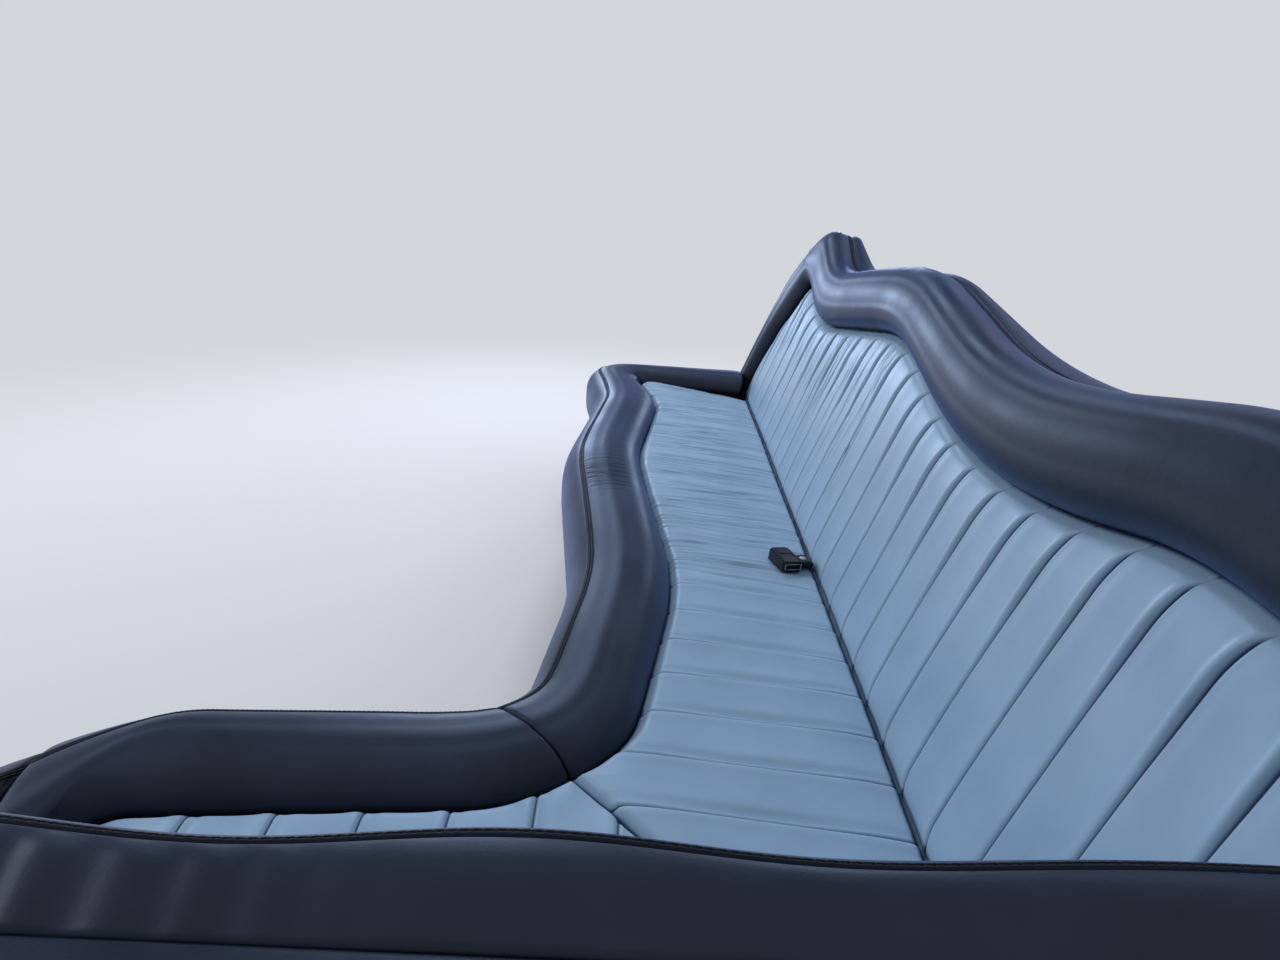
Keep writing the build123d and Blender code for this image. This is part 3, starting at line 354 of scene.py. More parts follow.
def roll(name, start, end, step=4.0, creases=0.0, lean_end=None):
    """One length of roll between two seams: its section carried along, from the seam line to the edge line.

    It pinches in by up to 5 mm at its end seams, dips 2 mm along the stitched seam on its shoulder, and
    swells and sinks by a millimetre on long sine waves. `creases` is the depth of a patch of fine ripples,
    two sine waves along it. `lean_end` turns its last or first end up a backrest's face."""
    run = length_along(portion(seat_seam, start, end, np.array([0, 0.5, 1])))[-1]
    shares = spaced(run, step, END_ROWS)
    inner, outer = portion(seat_seam, start, end, shares), portion(seat_edge, start, end, shares)
    across = (section[:, 0] / ROLL_WIDTH)[None, :, None]
    flat = inner[:, None] + (outer - inner)[:, None] * across
    height = np.broadcast_to(section[None, :, 1], flat.shape[:2])
    form = np.concatenate([flat, height[..., None]], 2)
    to_end = np.minimum(shares, 1 - shares)[:, None] * run
    pinch = 2.6 * bell(to_end, 3.0) + 1.0 * bell(to_end, 11)
    pinch = pinch - 1.1 * np.sin(form[..., 1] / 61 + 1.3) * np.sin(form[..., 0] / 83 + 0.4)
    core = form.copy()
    core[..., 2] = ROLL_CORE
    core[..., :2] = (inner + 0.5 * (outer - inner))[:, None]
    depth = (pinch + felled(seat_offsets)) * on_skin
    # Painted shade, with a little soil: at the end seams, along the needle lines and where the leather goes
    # in at the seam to the cushion
    shade_and_soil = np.clip(bell(to_end, 2.0) + needle_lines(seat_offsets) + bell(section[:, 2], 12), 0, 1)
    if creases:
        along = form[..., 1] + 0.25 * section[:, 0] + 0.0016 * (section[:, 0] - SHOULDER) ** 2
        patch = bell(form[..., 1] - 240, 105) * bell(section[:, 0] - 88, 52) * (seat_offsets < -8)
        ripple = np.sin(along / 2.4 + 1.3 * np.sin(along / 21)) + 0.5 * np.sin(along / 4.1 + 2)
        depth = depth + creases * patch * ripple
        # Painted shade in the ripples' furrows
        shade_and_soil = np.clip(shade_and_soil + 0.35 * patch * np.clip(ripple, 0, 1), 0, 1)
    form = form + unit(core - form) * depth[..., None]
    if lean_end is not None:
        which, direction, angle = lean_end
        near = 1 - np.clip((shares if which == "first" else 1 - shares) * run / 90, 0, 1)
        form[..., :2] += (near[:, None] * (form[..., 2] - CREASE_HEIGHT) * tan(angle))[..., None] * direction
    piece = closed_form(name, form, shade_and_soil * on_skin)
    paint(piece, dark_leather)
    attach(piece, "root")
    return piece, (form, seat_offsets)


open_seam = ((OPEN_X + 115, CREASE_Y + 400), (-cos(radians(13.5)), -sin(radians(13.5))))
corner_seam = ((CREASE_X, CREASE_Y), (1.0, 1.0))
far_seam = ((CREASE_X - END_DEPTH, FAR_SEAM_Y), (155.0, 160.0))
at_front_back = ((0.0, CREASE_Y + (BACK_CROWN + 1) / cos(FRONT_LEAN)), (0.0, 1.0))
at_side_back = ((CREASE_X - (BACK_CROWN + 1) / cos(SIDE_LEAN), 0.0), (1.0, 0.0))

seat_roll_side, sewn_side = roll("roll_side", corner_seam, far_seam, step=3.0, creases=1.2)
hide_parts("seat_roll_side")
seat_roll_front, sewn_front = roll("roll_front", open_seam, corner_seam)
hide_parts("seat_roll_front")
seat_roll_open, sewn_open = roll("roll_open_end", at_front_back, open_seam,
                                 lean_end=("first", np.array([0.0, -1.0]), FRONT_LEAN))
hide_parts("seat_roll_open_end")
seat_roll_far, sewn_far = roll("roll_far_end", far_seam, at_side_back,
                               lean_end=("last", np.array([1.0, 0.0]), SIDE_LEAN))
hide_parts("seat_roll_far_end")

# Seat cushions: light leather over 40 mm foam, sewn down in channels 89 mm apart that run from the crease to
# the roll. Two cushions meet in the corner on the diagonal. The hide has gathered in fine wrinkles.

# Light leather: silver grey with a blue cast, satin finish. Its darkest stop is painted shade, with a little
# soil, in its seams, channel lines, creases and wrinkles.
light_leather = leather("light_upholstery_leather", [(0.0, "#90aabf"), (0.45, "#839db3"), (1.0, "#26334a")],
                        0.40, 0.08, {"Specular IOR Level": 0.5, "Sheen Weight": 0.08})

# Pitch of the channels of the long and the short bench, and one line of each
CHANNEL, FRONT_CHANNEL = 89.0, 87.5
SIDE_LINE, FRONT_LINE = CREASE_Y + 336.0, CREASE_X - 325.0
# Height of the cushions' underside, their gap to what they are sewn to, and the far end's length of taper
CUSHION_BOTTOM, GAP, TAPER = 246.0, 0.6, 65


def channels(place, start, pitch):
    """Distance to the nearest sewn channel line, on its far side positive."""
    return place - start - np.round((place - start) / pitch) * pitch


def lined_up(low, high, start, pitch):
    """Places from `low` to `high`, one on each channel line, closer beside it and 3 mm apart beyond."""
    near = np.array([0.8, 1.6, 2.5, 3.6, 5.0, 7.0, 9.5])
    beside = np.concatenate([near, np.arange(12.5, pitch / 2 - 1.0, 3.0), [pitch / 2]])
    beside = np.concatenate([-beside[:-1], [0.0], beside])
    number = np.arange(np.floor((low - start) / pitch) - 1, np.ceil((high - start) / pitch) + 2)
    places = (start + number[:, None] * pitch + beside).ravel()
    places = np.sort(places[(places > low + 0.4) & (places < high - 0.4)])
    return np.concatenate([[low], places, [high]])


def wrinkles(along, across, seed, count, box, length, width, depth):
    """Shallow folds scattered over a box: each is a furrow with a low ridge beside it.

    A fold's middle, tilt, bend and size come from a seeded generator. It is a bell curve across itself,
    about a line that bends as a parabola, and fades as a bell curve along its length."""
    chance = np.random.default_rng(seed)
    total = np.zeros(np.broadcast(along, across).shape)
    middles = np.stack([chance.uniform(box[0], box[1], count), chance.uniform(box[2], box[3], count)], 1)
    sizes = chance.uniform(0.5, 1.0, (count, 3))
    tilts = chance.normal(0.0, 0.07, count)
    bends = chance.normal(0.0, 0.0004, count)
    for (u, v), (far, wide, deep), tilt, bend in zip(middles, sizes, tilts, bends):
        reach = across - v
        off = along - u - tilt * reach - bend * reach ** 2
        fade = bell(reach, length * far)
        total += depth * deep * fade * (0.55 * bell(off - 1.7 * width * wide, width * wide)
                                        - bell(off, width * wide))
    return total


def ended(values, end=None):
    """Values across a cushion with one more at each end: the outermost ones again, or `end`."""
    first, last = (values[:, :1], values[:, -1:]) if end is None else [np.full_like(values[:, :1], end)] * 2
    return np.concatenate([first, values, last], 1)


def seat_cushion(name, place, near, far, height, corner, start, pitch, softened, wrinkled):
    """A cushion in rows across the bench, each from `near` to `far` of the crease, in closed sections.

    The top climbs at the seat's slope and falls on a curve into the crease and into the roll's seam. Along
    each channel line it dips, with a softer hollow beyond the line and a low ridge before it; where
    `softened` is 1 the lines fade beside the roll, past the middle of the bench."""
    share = spaced(300.0, 6.0, (0.8, 1.8, 3, 4.5, 6, 8, 10, 13, 16, 20, 24))[None, :]
    depth = near[:, None] + share * (far - near)[:, None]
    place = np.broadcast_to(place[:, None], depth.shape)
    to_roll = far[:, None] - depth
    off = channels(place, start, pitch)
    middle = np.sin(np.pi * share) ** 2
    worn = 1 - 0.55 * softened * np.clip((place - 100) / 350, 0, 1) * np.clip(1.6 - to_roll / 90, 0, 1)
    groove = 3.4 * bell(off, 2.4) + (1.6 + 3.2 * middle) * bell(off - 9, 7.5) - 1.3 * bell(off + 9, 8)
    gather = wrinkles(place, depth, *wrinkled)
    z = height + tan(SEAT_ANGLE) * depth - groove * worn - 1.2 * np.sin(np.pi * off / pitch) ** 2 + gather
    z = z - 12 * bell(to_roll, 8) - 3 * bell(to_roll, 30) - 4.5 * bell(depth, 5) - 3 * bell(depth, 30)
    z = z + 1.2 * np.sin(place / 97 + 0.5) * np.sin(depth / 71 + 1)
    # Painted shade, with a little soil: a dark line on each channel line and a soft band beyond it, in the
    # wrinkles' furrows, at the roll's seam and in the crease, and a little darker towards the crease
    shade_and_soil = np.clip((0.95 * bell(off, 1.5) + (0.16 + 0.32 * middle) * bell(off - 7, 6)) * worn
                   + np.clip(-0.17 * gather, 0, 0.28) + 0.9 * bell(to_roll, 4) + bell(depth, 5.5)
                   + 0.16 * bell(depth, 60), 0, 1)
    piece = closed_form(name, corner(ended(place), ended(depth), ended(z, CUSHION_BOTTOM)), ended(shade_and_soil))
    paint(piece, light_leather)
    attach(piece, "root")
    return piece


side_seam = portion(seat_seam, corner_seam, far_seam, np.linspace(0, 1, 900))
front_seam = portion(seat_seam, ((OPEN_SEAM_X + 0.001, 0.0), (1.0, 0.0)), corner_seam, np.linspace(0, 1, 500))
rows = lined_up(CREASE_Y + 2.0, FAR_SEAM_Y - 1, SIDE_LINE, CHANNEL)
side_far = np.minimum(rows - CREASE_Y - 0.3,
                      CREASE_X - GAP - np.interp(rows, side_seam[:, 1], side_seam[:, 0]))
side_near = np.maximum(GAP, END_DEPTH - (FAR_SEAM_Y - GAP - rows) * END_DEPTH / TAPER)
side_far = np.maximum(side_far, side_near + 0.4)
side_cushion = seat_cushion(
    "cushion_side", rows, side_near, side_far, CREASE_HEIGHT,
    lambda place, depth, z: np.stack([CREASE_X - depth, place, z], 2), SIDE_LINE, CHANNEL, 1,
    (7, 300, (-150.0, 1120.0, 30.0, 320.0), 80.0, 3.3, 2.0))
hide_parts("seat_insert_side")

rows = lined_up(OPEN_SEAM_X + GAP, CREASE_X - 2.0, FRONT_LINE, FRONT_CHANNEL)[::-1]
order = np.argsort(front_seam[:, 0])
front_far = np.minimum(CREASE_X - rows - 0.3,
                       np.interp(rows, front_seam[order, 0], front_seam[order, 1]) - CREASE_Y - GAP)
front_cushion = seat_cushion(
    "cushion_front", rows, np.full_like(rows, GAP), front_far, CREASE_HEIGHT,
    lambda place, depth, z: np.stack([place, CREASE_Y + depth, z], 2), FRONT_LINE, FRONT_CHANNEL, 0,
    (11, 30, (-440.0, 300.0, 30.0, 260.0), 70.0, 2.6, 0.7))
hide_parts("seat_insert_front")

# Side backrest: a light channelled panel set into a dark padded surround, both on the leaning board. The
# surround's crest waves like the seat roll's edge, and its end narrows down to the seat.

# Its waves: share of the way to the mitre, the seam's and the crest's height up the face, and the radius
BACK_WAVE = np.array([(0.146, 409.0, 553.0, 500.0), (0.212, 412.0, 547.0, 600.0),
                      (0.380, 318.0, 462.0, 1200.0), (0.622, 420.0, 549.0, 700.0),
                      (0.870, 319.0, 452.0, 500.0)])
MITRE_Y, BACK_FOOT = FAR_Y - 295, -145.0
station = PARTITION_Y + BACK_WAVE[:, 0] * (MITRE_Y - PARTITION_Y)
back_seam = rounded_run([(PARTITION_Y - 60, 470), *zip(station, BACK_WAVE[:, 1]), (MITRE_Y, 395),
                         (FAR_Y - 155, 170), (FAR_Y - 130, 0), (FAR_Y - 130, BACK_FOOT)],
                        [*BACK_WAVE[:, 3], 50, 300, 1])
back_crest = rounded_run([(PARTITION_Y, 566), *zip(station, BACK_WAVE[:, 2]), (FAR_Y - 300, 546),
                          (FAR_Y - 95, 395), (FAR_Y - 35, 150), (FAR_Y - 35, BACK_FOOT)],
                         [*BACK_WAVE[:, 3], 120, 160, 250])


def on_side_face(y, up, out):
    """Bench coordinates of a point on the leaning side face: along it, up it, and out towards the sitter."""
    return np.stack([CREASE_X + up * sin(SIDE_LEAN) - out * cos(SIDE_LEAN), y + 0 * up,
                     CREASE_HEIGHT + up * cos(SIDE_LEAN) + out * sin(SIDE_LEAN)], -1)


def on_front_face(x, up, out):
    """The same for the face of the backrest at the partition."""
    return np.stack([x + 0 * up, CREASE_Y - up * sin(FRONT_LEAN) + out * cos(FRONT_LEAN),
                     CREASE_HEIGHT + up * cos(FRONT_LEAN) + out * sin(FRONT_LEAN)], -1)


def back_cushion(name, place, top_at, onto, start, pitch, wrinkled):
    """The channelled panel in columns up the face, each from the crease to the seam above.

    Each channel line is a narrow furrow with a soft ridge beside it. Both are strongest a hand's width
    below the seam, where the furrow widens; above that the line bends sideways as a parabola and fades.
    The panel rolls back 19 mm into the seam, and 8 mm at its foot."""
    share = spaced(400.0, 7.0, (0.8, 1.8, 3, 4.5, 6.5, 9, 12, 15.5, 19.5, 24, 29, 35))[None, :]
    foot = -22.0
    column = np.broadcast_to(place[:, None], (len(place), share.shape[1]))
    below = (1 - share) * (top_at(place) - foot)[:, None]
    up = top_at(place)[:, None] - below
    hook = 16.0 * np.clip((66 - below) / 66, 0, 1) ** 2 + 7.0 * np.clip((30 - up) / 30, 0, 1.5) ** 2
    hook = hook * np.clip((place[-1] - place) / 90, 0, 1)[:, None]
    place = column - hook * np.clip((place - place[0]) / 60, 0, 1)[:, None]
    up = foot + share * (top_at(place) - foot)
    below = top_at(place) - up
    off = channels(column, start, pitch)
    slack = bell(below - 75, 75)
    reach = np.clip(below / 26, 0.25, 1)
    groove = (3.2 + 1.8 * slack) * bell(off, 2.0 + 1.2 * slack) - (0.4 + 2.0 * slack) * bell(off - 7.5, 4.0)
    groove = groove + 1.3 * slack * bell(off + 9, 9)
    gather = wrinkles(place, up, *wrinkled)
    out = -1.2 * np.sin(np.pi * off / pitch) ** 2 - groove * reach + gather
    out = out - 13 * bell(below, 13) - 6 * bell(below, 45) - 5 * bell(up - foot, 20) - 3 * bell(up - foot, 70)
    out = out + 1.5 * np.sin(place / 131) * np.sin(up / 93 + 0.6)
    # Painted shade, with a little soil: a dark line on each channel line with a soft band beside it, in the
    # wrinkles' furrows, under the seam and at the foot; the greyer band over the top 58 mm is a painted
    # reflection of a dark ceiling
    shade_and_soil = np.clip((bell(off, 1.7 + 0.9 * slack) + 0.15 * slack * bell(off + 7, 7)) * reach
                   + np.clip(-0.2 * gather, 0, 0.28) + 0.95 * bell(below, 5)
                   + bell(np.minimum(up + 5, 0), 9) * bell(up + 5, 5)
                   + 0.12 / (1 + np.exp((below - 58) / 7)), 0, 1)
    piece = closed_form(name, onto(ended(place), ended(up), ended(out, -BACK_FOAM + 1)), ended(shade_and_soil))
    paint(piece, light_leather)
    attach(piece, "root")
    return piece


turn_back = np.argmax(back_seam[:, 0])
seam_top = back_seam[:turn_back + 1]
columns = lined_up(PARTITION_Y + 1.0, FAR_Y - 131, SIDE_LINE, CHANNEL)
side_back_cushion = back_cushion(
    "back_cushion_side", columns,
    lambda y: np.maximum(np.interp(y, seam_top[:, 0], seam_top[:, 1]) - GAP, -15), on_side_face,
    SIDE_LINE, CHANNEL, (5, 150, (60.0, 1080.0, 150.0, 390.0), 85.0, 3.2, 1.8))
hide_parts("side_back_insert")


def surround_section(width, behind):
    """Across the padded surround, from its seam to its crest: a dome, then back to the board. Columns:
    distance from the seam, distance out, and length along the leather. The stitching runs `behind` short
    of the leather's rear edge."""
    front = dome(44, width - 44 - 42, 42, -14, BACK_CROWN, 3.0, BACK_CROWN - 40)
    top = np.array([[width, -20.0], [width, -30.0], [width, -BACK_FOAM + 0.5]])
    inside = np.array([[width * 0.5, -BACK_FOAM + 0.5], [1.5, -BACK_FOAM + 0.5], [0.5, -30.0]])
    outside = np.concatenate([*front, top])
    return sewn_section(outside, inside, length_along(outside)[-1] - behind, 44)


def surround(name, seam, crest, width, behind, onto, start, end, ends, step=4.0, folds=0.0):
    """One length of the surround, its section carried along between its seam line and its crest line.

    It pinches in at the ends named in `ends`, dips along the stitched seam, and undulates by a millimetre.
    `folds` is the depth of gathers behind the stitching: a sine wave that dies out along the crest. The
    crest then sinks by up to 9 mm between its tacks as well, on a slow wave."""
    section, stitched, skin = surround_section(width, behind)
    offsets = section[:, 2] - stitched
    run = length_along(portion(crest, start, end, np.array([0, 0.5, 1])))[-1]
    shares = spaced(run, step, END_ROWS)
    inner, outer = portion(seam, start, end, shares), portion(crest, start, end, shares)
    flat = inner[:, None] + (outer - inner)[:, None] * (section[:, 0] / width)[None, :, None]
    skin_part = section[:, 2] <= skin
    to_end = np.min([shares * run if "first" in ends else shares * 0 + 1e3,
                     (1 - shares) * run if "last" in ends else shares * 0 + 1e3], 0)[:, None]
    drop = 0.9 * bell(to_end, 2.0) + 1.1 * np.sin(flat[..., 0] / 87) * np.sin(flat[..., 1] / 64)
    drop = drop + felled(offsets)
    if folds:
        rear = np.clip((offsets - 8) / 14, 0, 1)
        drop = drop + folds * rear * bell(flat[..., 0] + 270, 180) * np.sin(
            flat[..., 0] / 5.6 - 0.035 * section[:, 2] + 0.6 * np.sin(flat[..., 0] / 31))
        sunk = 4.0 - 5.5 * np.cos(2 * np.pi * (flat[..., 0] - 110) / 360)
        drop = drop + sunk * bell(flat[..., 0] - 60, 330) * bell(offsets, 60)
    facing = np.gradient(section[:, 0], section[:, 2]), -np.gradient(section[:, 1], section[:, 2])
    out = section[:, 1] - drop * facing[0] * skin_part
    flat = flat - unit(outer - inner)[:, None] * (drop * facing[1] * skin_part)[..., None]
    # Painted shade, with a little soil: at the pinched ends, along the needle lines and where the leather
    # goes in at the seam
    shade_and_soil = np.clip(0.7 * bell(to_end, 1.2) + needle_lines(offsets) + bell(section[:, 2], 14), 0, 1)
    form = onto(flat[..., 0], flat[..., 1], out)
    piece = closed_form(name, form, shade_and_soil * skin_part)
    paint(piece, dark_leather)
    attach(piece, "root")
    return piece, (form, offsets)


padding_mitre = ((MITRE_Y, 395.0), (75.5, -97.5))
side_surround, crest_side = surround(
    "back_roll_side", back_seam, back_crest, 140.0, 10.5, on_side_face,
    ((PARTITION_Y + 0.6, 0.0), (1.0, 0.0)), padding_mitre, ("last",))
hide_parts("side_back_roll")
far_surround, crest_far = surround(
    "back_strip_far", back_seam, back_crest, 110.0, 10.5, on_side_face,
    padding_mitre, ((0.0, -84.0), (0.0, 1.0)), ("first",))
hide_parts("side_back_end_strip")

# Top shelf: dark leather laid over a board from the crest back to the side wall, as wavy as the crest.
# It is glued down flat, with a slight crown, and tucked in along the wall.


def covered_shelf(name, front, wall, lip):
    """A thin closed form between a front line and a wall line, each given as points in bench coordinates.

    Its top is a straight run between the two with a crown of 3 mm; its underside lies `lip` below."""
    share = spaced(100.0, 8.0, (1, 2.5, 5))
    top = front[:, None] + (wall - front)[:, None] * share[None, :, None]
    top[..., 2] += 3.0 * np.sin(np.pi * share) - 0.6 * bell(share * 100, 2) - 2.5 * bell(100 - share * 100, 3)
    under = top[:, ::-1] - (0, 0, lip)
    # Painted shade, with a little soil: along the front edge and where the leather is tucked in at the wall
    shade_and_soil = np.concatenate([bell(share * 100, 3) + bell(100 - share * 100, 3), share * 0])
    piece = closed_form(name, np.concatenate([top, under], 1), np.tile(shade_and_soil, (len(front), 1)))
    paint(piece, dark_leather)
    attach(piece, "root")
    return piece


SHELF_OUT, SHELF_THICK = -BACK_FOAM - 0.2, 14.0
shelf_line = portion(back_crest, ((PARTITION_Y + 0.6, 0.0), (1.0, 0.0)), ((FAR_Y - 96, 0.0), (1.0, 0.0)),
                     np.linspace(0, 1, 520))
shelf_front = on_side_face(shelf_line[:, 0], shelf_line[:, 1], np.full(len(shelf_line), SHELF_OUT))
shelf_wall = shelf_front.copy()
shelf_wall[:, 0] = WALL_X - 0.5
side_shelf = covered_shelf("shelf_side", shelf_front, shelf_wall, SHELF_THICK)
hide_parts("side_back_shelf")

# Front backrest, against the partition: the same make, with a straight crest. Its free corner is rounded,
# and its other end stops against the side backrest.

FRONT_SEAM, FRONT_CREST, STRIP = 285.0, 412.0, 105.0
STRIP_X = OPEN_X + STRIP
front_seam_line = rounded_run([(STRIP_X, BACK_FOOT), (STRIP_X, FRONT_SEAM), (WALL_X, FRONT_SEAM)], [50])
front_crest_line = rounded_run([(OPEN_X, BACK_FOOT), (OPEN_X, FRONT_CREST), (WALL_X, FRONT_CREST)], [60])


def side_face_x(z):
    """Where the side backrest's leaning face stands at a height, less 1 mm."""
    return CREASE_X + (z - CREASE_HEIGHT) * tan(SIDE_LEAN) - 1.0


def against_side(x, up, out):
    """Points on the front face, drawn in so that their far end meets the side backrest's leaning face."""
    point = on_front_face(x, up, out)
    x = x + 0 * up
    share = np.clip((x - STRIP_X) / (WALL_X - STRIP_X), 0, 1)
    point[..., 0] = np.where(x > STRIP_X, STRIP_X + share * (side_face_x(point[..., 2]) - STRIP_X), x)
    return point


BACK_CHANNEL = FRONT_CHANNEL * 1.2
BACK_LINE = FRONT_LINE - 4 * BACK_CHANNEL
columns = lined_up(STRIP_X + GAP, WALL_X, BACK_LINE, BACK_CHANNEL)
front_seam_top = front_seam_line[front_seam_line[:, 0] > STRIP_X + 0.01]
front_back_cushion = back_cushion(
    "back_cushion_front", columns,
    lambda x: np.interp(x, front_seam_top[:, 0], front_seam_top[:, 1]) - GAP, against_side, BACK_LINE,
    BACK_CHANNEL, (3, 20, (-500.0, 600.0, 120.0, 300.0), 70.0, 2.4, 1.0))
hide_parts("front_back_insert")

free_mitre = ((STRIP_X, FRONT_SEAM), (FRONT_CREST - FRONT_SEAM, STRIP))
front_strip, crest_open = surround(
    "back_strip_open_end", front_seam_line, front_crest_line, 110.0, 60.0, against_side,
    ((0.0, -84.0), (0.0, 1.0)), free_mitre, ("last",))
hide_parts("front_back_end_strip")
front_surround, crest_front = surround(
    "back_roll_front", front_seam_line, front_crest_line, FRONT_CREST - FRONT_SEAM, 60.0, against_side,
    free_mitre, ((WALL_X - 0.5, 0.0), (1.0, 0.0)), ("first",), folds=3.6)
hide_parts("front_back_roll")

front_shelf_line = on_front_face(np.linspace(OPEN_X + 14, WALL_X, 300), np.full(300, FRONT_CREST),
                                 np.full(300, SHELF_OUT))
front_shelf_line[:, 0] = np.minimum(front_shelf_line[:, 0], side_face_x(front_shelf_line[:, 2]))
partition_line = front_shelf_line.copy()
partition_line[:, 1] = PARTITION_Y + 0.5
front_shelf = covered_shelf("shelf_front", front_shelf_line, partition_line, SHELF_THICK)
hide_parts("front_back_shelf")

# Stitching: twin rows of black bonded thread along the felled seams, on both of their welts. Each stitch is
# 5 mm long and stands half a thread proud of the leather.

thread, tree, shader, place = finish("bonded_thread", {"Base Color": linear("#12141c"), "Roughness": 0.5})
relief(tree, shader, noise(tree, place, 1800.0, 1.0), 0.4, 0.0002)
STITCH_PITCH, STITCH_HALF = 5.6, np.array([[2.3], [0.55], [0.5]])


def faced(name, points, faces):
    """A smooth object of four-sided faces through points in metres."""
    mesh = bpy.data.meshes.new(name)
    mesh.from_pydata(points.reshape(-1, 3).tolist(), [], faces.reshape(-1, 4).tolist())
    mesh.shade_smooth()
    return placed(name, mesh)


def stitches(name, form, offsets):
    """Stitches along two rings' columns of a sewn form: each an ellipsoid laid on the leather.

    A row follows the column nearest the middle of each welt. Its stitches' long axes follow the row, and
    their short ones are the cross products of the row's direction and the section's."""
    parts = []
    turn, tip = np.meshgrid(np.arange(6) * np.pi / 3, np.array([-1.0, -0.5, 0.5, 1.0]) * np.pi / 2,
                            indexing="ij")
    ball = np.stack([np.sin(tip), np.cos(tip) * np.cos(turn), np.cos(tip) * np.sin(turn)], -1)
    for welt in WELTS:
        column = np.argmin(np.abs(offsets - welt))
        row, beside = form[:, column], form[:, column + 1] - form[:, column - 1]
        length = length_along(row)
        at = np.arange(4.0, length[-1] - 4.0, STITCH_PITCH)
        middle = sampled(at, length, row)
        ahead = unit(sampled(at + 1, length, row) - middle)
        rise = unit(np.cross(ahead, sampled(at, length, beside)))
        axes = STITCH_HALF * np.stack([ahead, np.cross(rise, ahead), rise], 1)
        parts.append(middle[:, None, None] + np.einsum("tpk,skc->stpc", ball, axes))
    points = np.concatenate(parts)
    i, j = np.meshgrid(np.arange(6), np.arange(3), indexing="ij")
    k = (i + 1) % 6
    quads = np.stack([i * 4 + j, k * 4 + j, k * 4 + j + 1, i * 4 + j + 1], -1).reshape(-1, 4)
    piece = faced(name, points / 1000, quads + np.arange(len(points))[:, None, None] * ball[..., 0].size)
    piece.modifiers.new("weld", "WELD").merge_threshold = 0.00002
    paint(piece, thread)
    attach(piece, "root")


for name, sewn in (("roll_side", sewn_side), ("roll_front", sewn_front), ("roll_open_end", sewn_open),
                   ("roll_far_end", sewn_far), ("back_side", crest_side), ("back_far", crest_far),
                   ("back_front", crest_front), ("back_open_end", crest_open)):
    stitches("stitches_" + name, *sewn)

# Lap belt buckle: black moulded shell with a dark red release button, a stiff sleeve and woven webbing.
# The plastic is slightly glossy and fine grained; the webbing is a herringbone of 1 mm yarns.


def moulded(name, code, roughness):
    """Moulded plastic with spark-eroded grain of about 0.4 mm."""
    material, tree, shader, place = finish(name, {"Specular IOR Level": 0.22, "Base Color": linear(code),
                                                  "Coat Weight": 0.2})
    grain = noise(tree, place, 2500.0, 2.0)
    tree.links.new(ranged(tree, grain, roughness - 0.05, roughness + 0.08), shader.inputs["Roughness"])
    relief(tree, shader, grain, 0.1, 0.0002)
    return material


paint(nodes["belt_buckle"], moulded("black_abs", "#0d0d10", 0.3))
paint(nodes["belt_sleeve"], moulded("black_polypropylene", "#101014", 0.42))
paint(nodes["belt_button"], moulded("dark_red_abs", "#2e0c12", 0.3))
webbing, tree, shader, place = finish("woven_belt_webbing", {"Roughness": 0.75, "Sheen Weight": 0.2})
weave = add(tree, "ShaderNodeTexWave", {"Vector": place, "Scale": 160.0, "Distortion": 0.5},
            bands_direction="Y").outputs["Fac"]
tones(tree, shader, weave, [(0.2, "#0c0c0f"), (0.8, "#1c1c20")])
relief(tree, shader, weave, 0.5, 0.0004)
paint(nodes["belt_webbing"], webbing)

# The buckle's turn on the seat, its distance from the crease, its place along the bench and its gap to the
# leather; then up off the seat, the direction of its slot end, across it, and its middle
BUCKLE_TURN, BUCKLE_DEPTH, BUCKLE_Y, BUCKLE_GAP = radians(110), 54, -68.0, 0.4
climb, level = sin(SEAT_ANGLE), cos(SEAT_ANGLE)
buckle_up = np.array([climb, 0.0, level])
buckle_ahead = np.array([-cos(BUCKLE_TURN) * level, -sin(BUCKLE_TURN), cos(BUCKLE_TURN) * climb])
buckle_beside = np.cross(buckle_up, buckle_ahead)
buckle_middle = np.array([CREASE_X - BUCKLE_DEPTH * level, BUCKLE_Y, CREASE_HEIGHT + BUCKLE_DEPTH * climb])
buckle_middle = buckle_middle + BUCKLE_GAP * buckle_up


def circle(count):
    """Cosine and sine, two columns, of `count` angles evenly round a full turn."""
    angle = np.linspace(0, 2 * np.pi, count + 1)[:-1]
    return np.stack([np.cos(angle), np.sin(angle)], 1)


def turned_form(name, profile, centre, axis, first, material):
    """A form turned round `axis`: its profile, given as (radius, height), carried through a full turn."""
    around = circle(40)[:, :1] * first + circle(40)[:, 1:] * np.cross(axis, first)
    profile = np.array(profile)
    piece = closed_form(name, centre + profile[:, 0, None, None] * around + profile[:, 1, None, None] * axis)
    paint(piece, material)
    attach(piece, "root")


# Rivet through the sleeve: a pressed steel cap
RIVET_AHEAD, SLEEVE_SIDE, SLEEVE_TOP = 5.0, 32.4, 14.0
turned_form("sleeve_rivet", [(6.2, -0.4), (6.2, 0.5), (5.4, 1.3), (3.4, 1.9), (0.4, 2.0)],
            buckle_middle + RIVET_AHEAD * buckle_ahead + SLEEVE_SIDE * buckle_beside + SLEEVE_TOP * buckle_up,
            buckle_up, buckle_ahead, zinc)
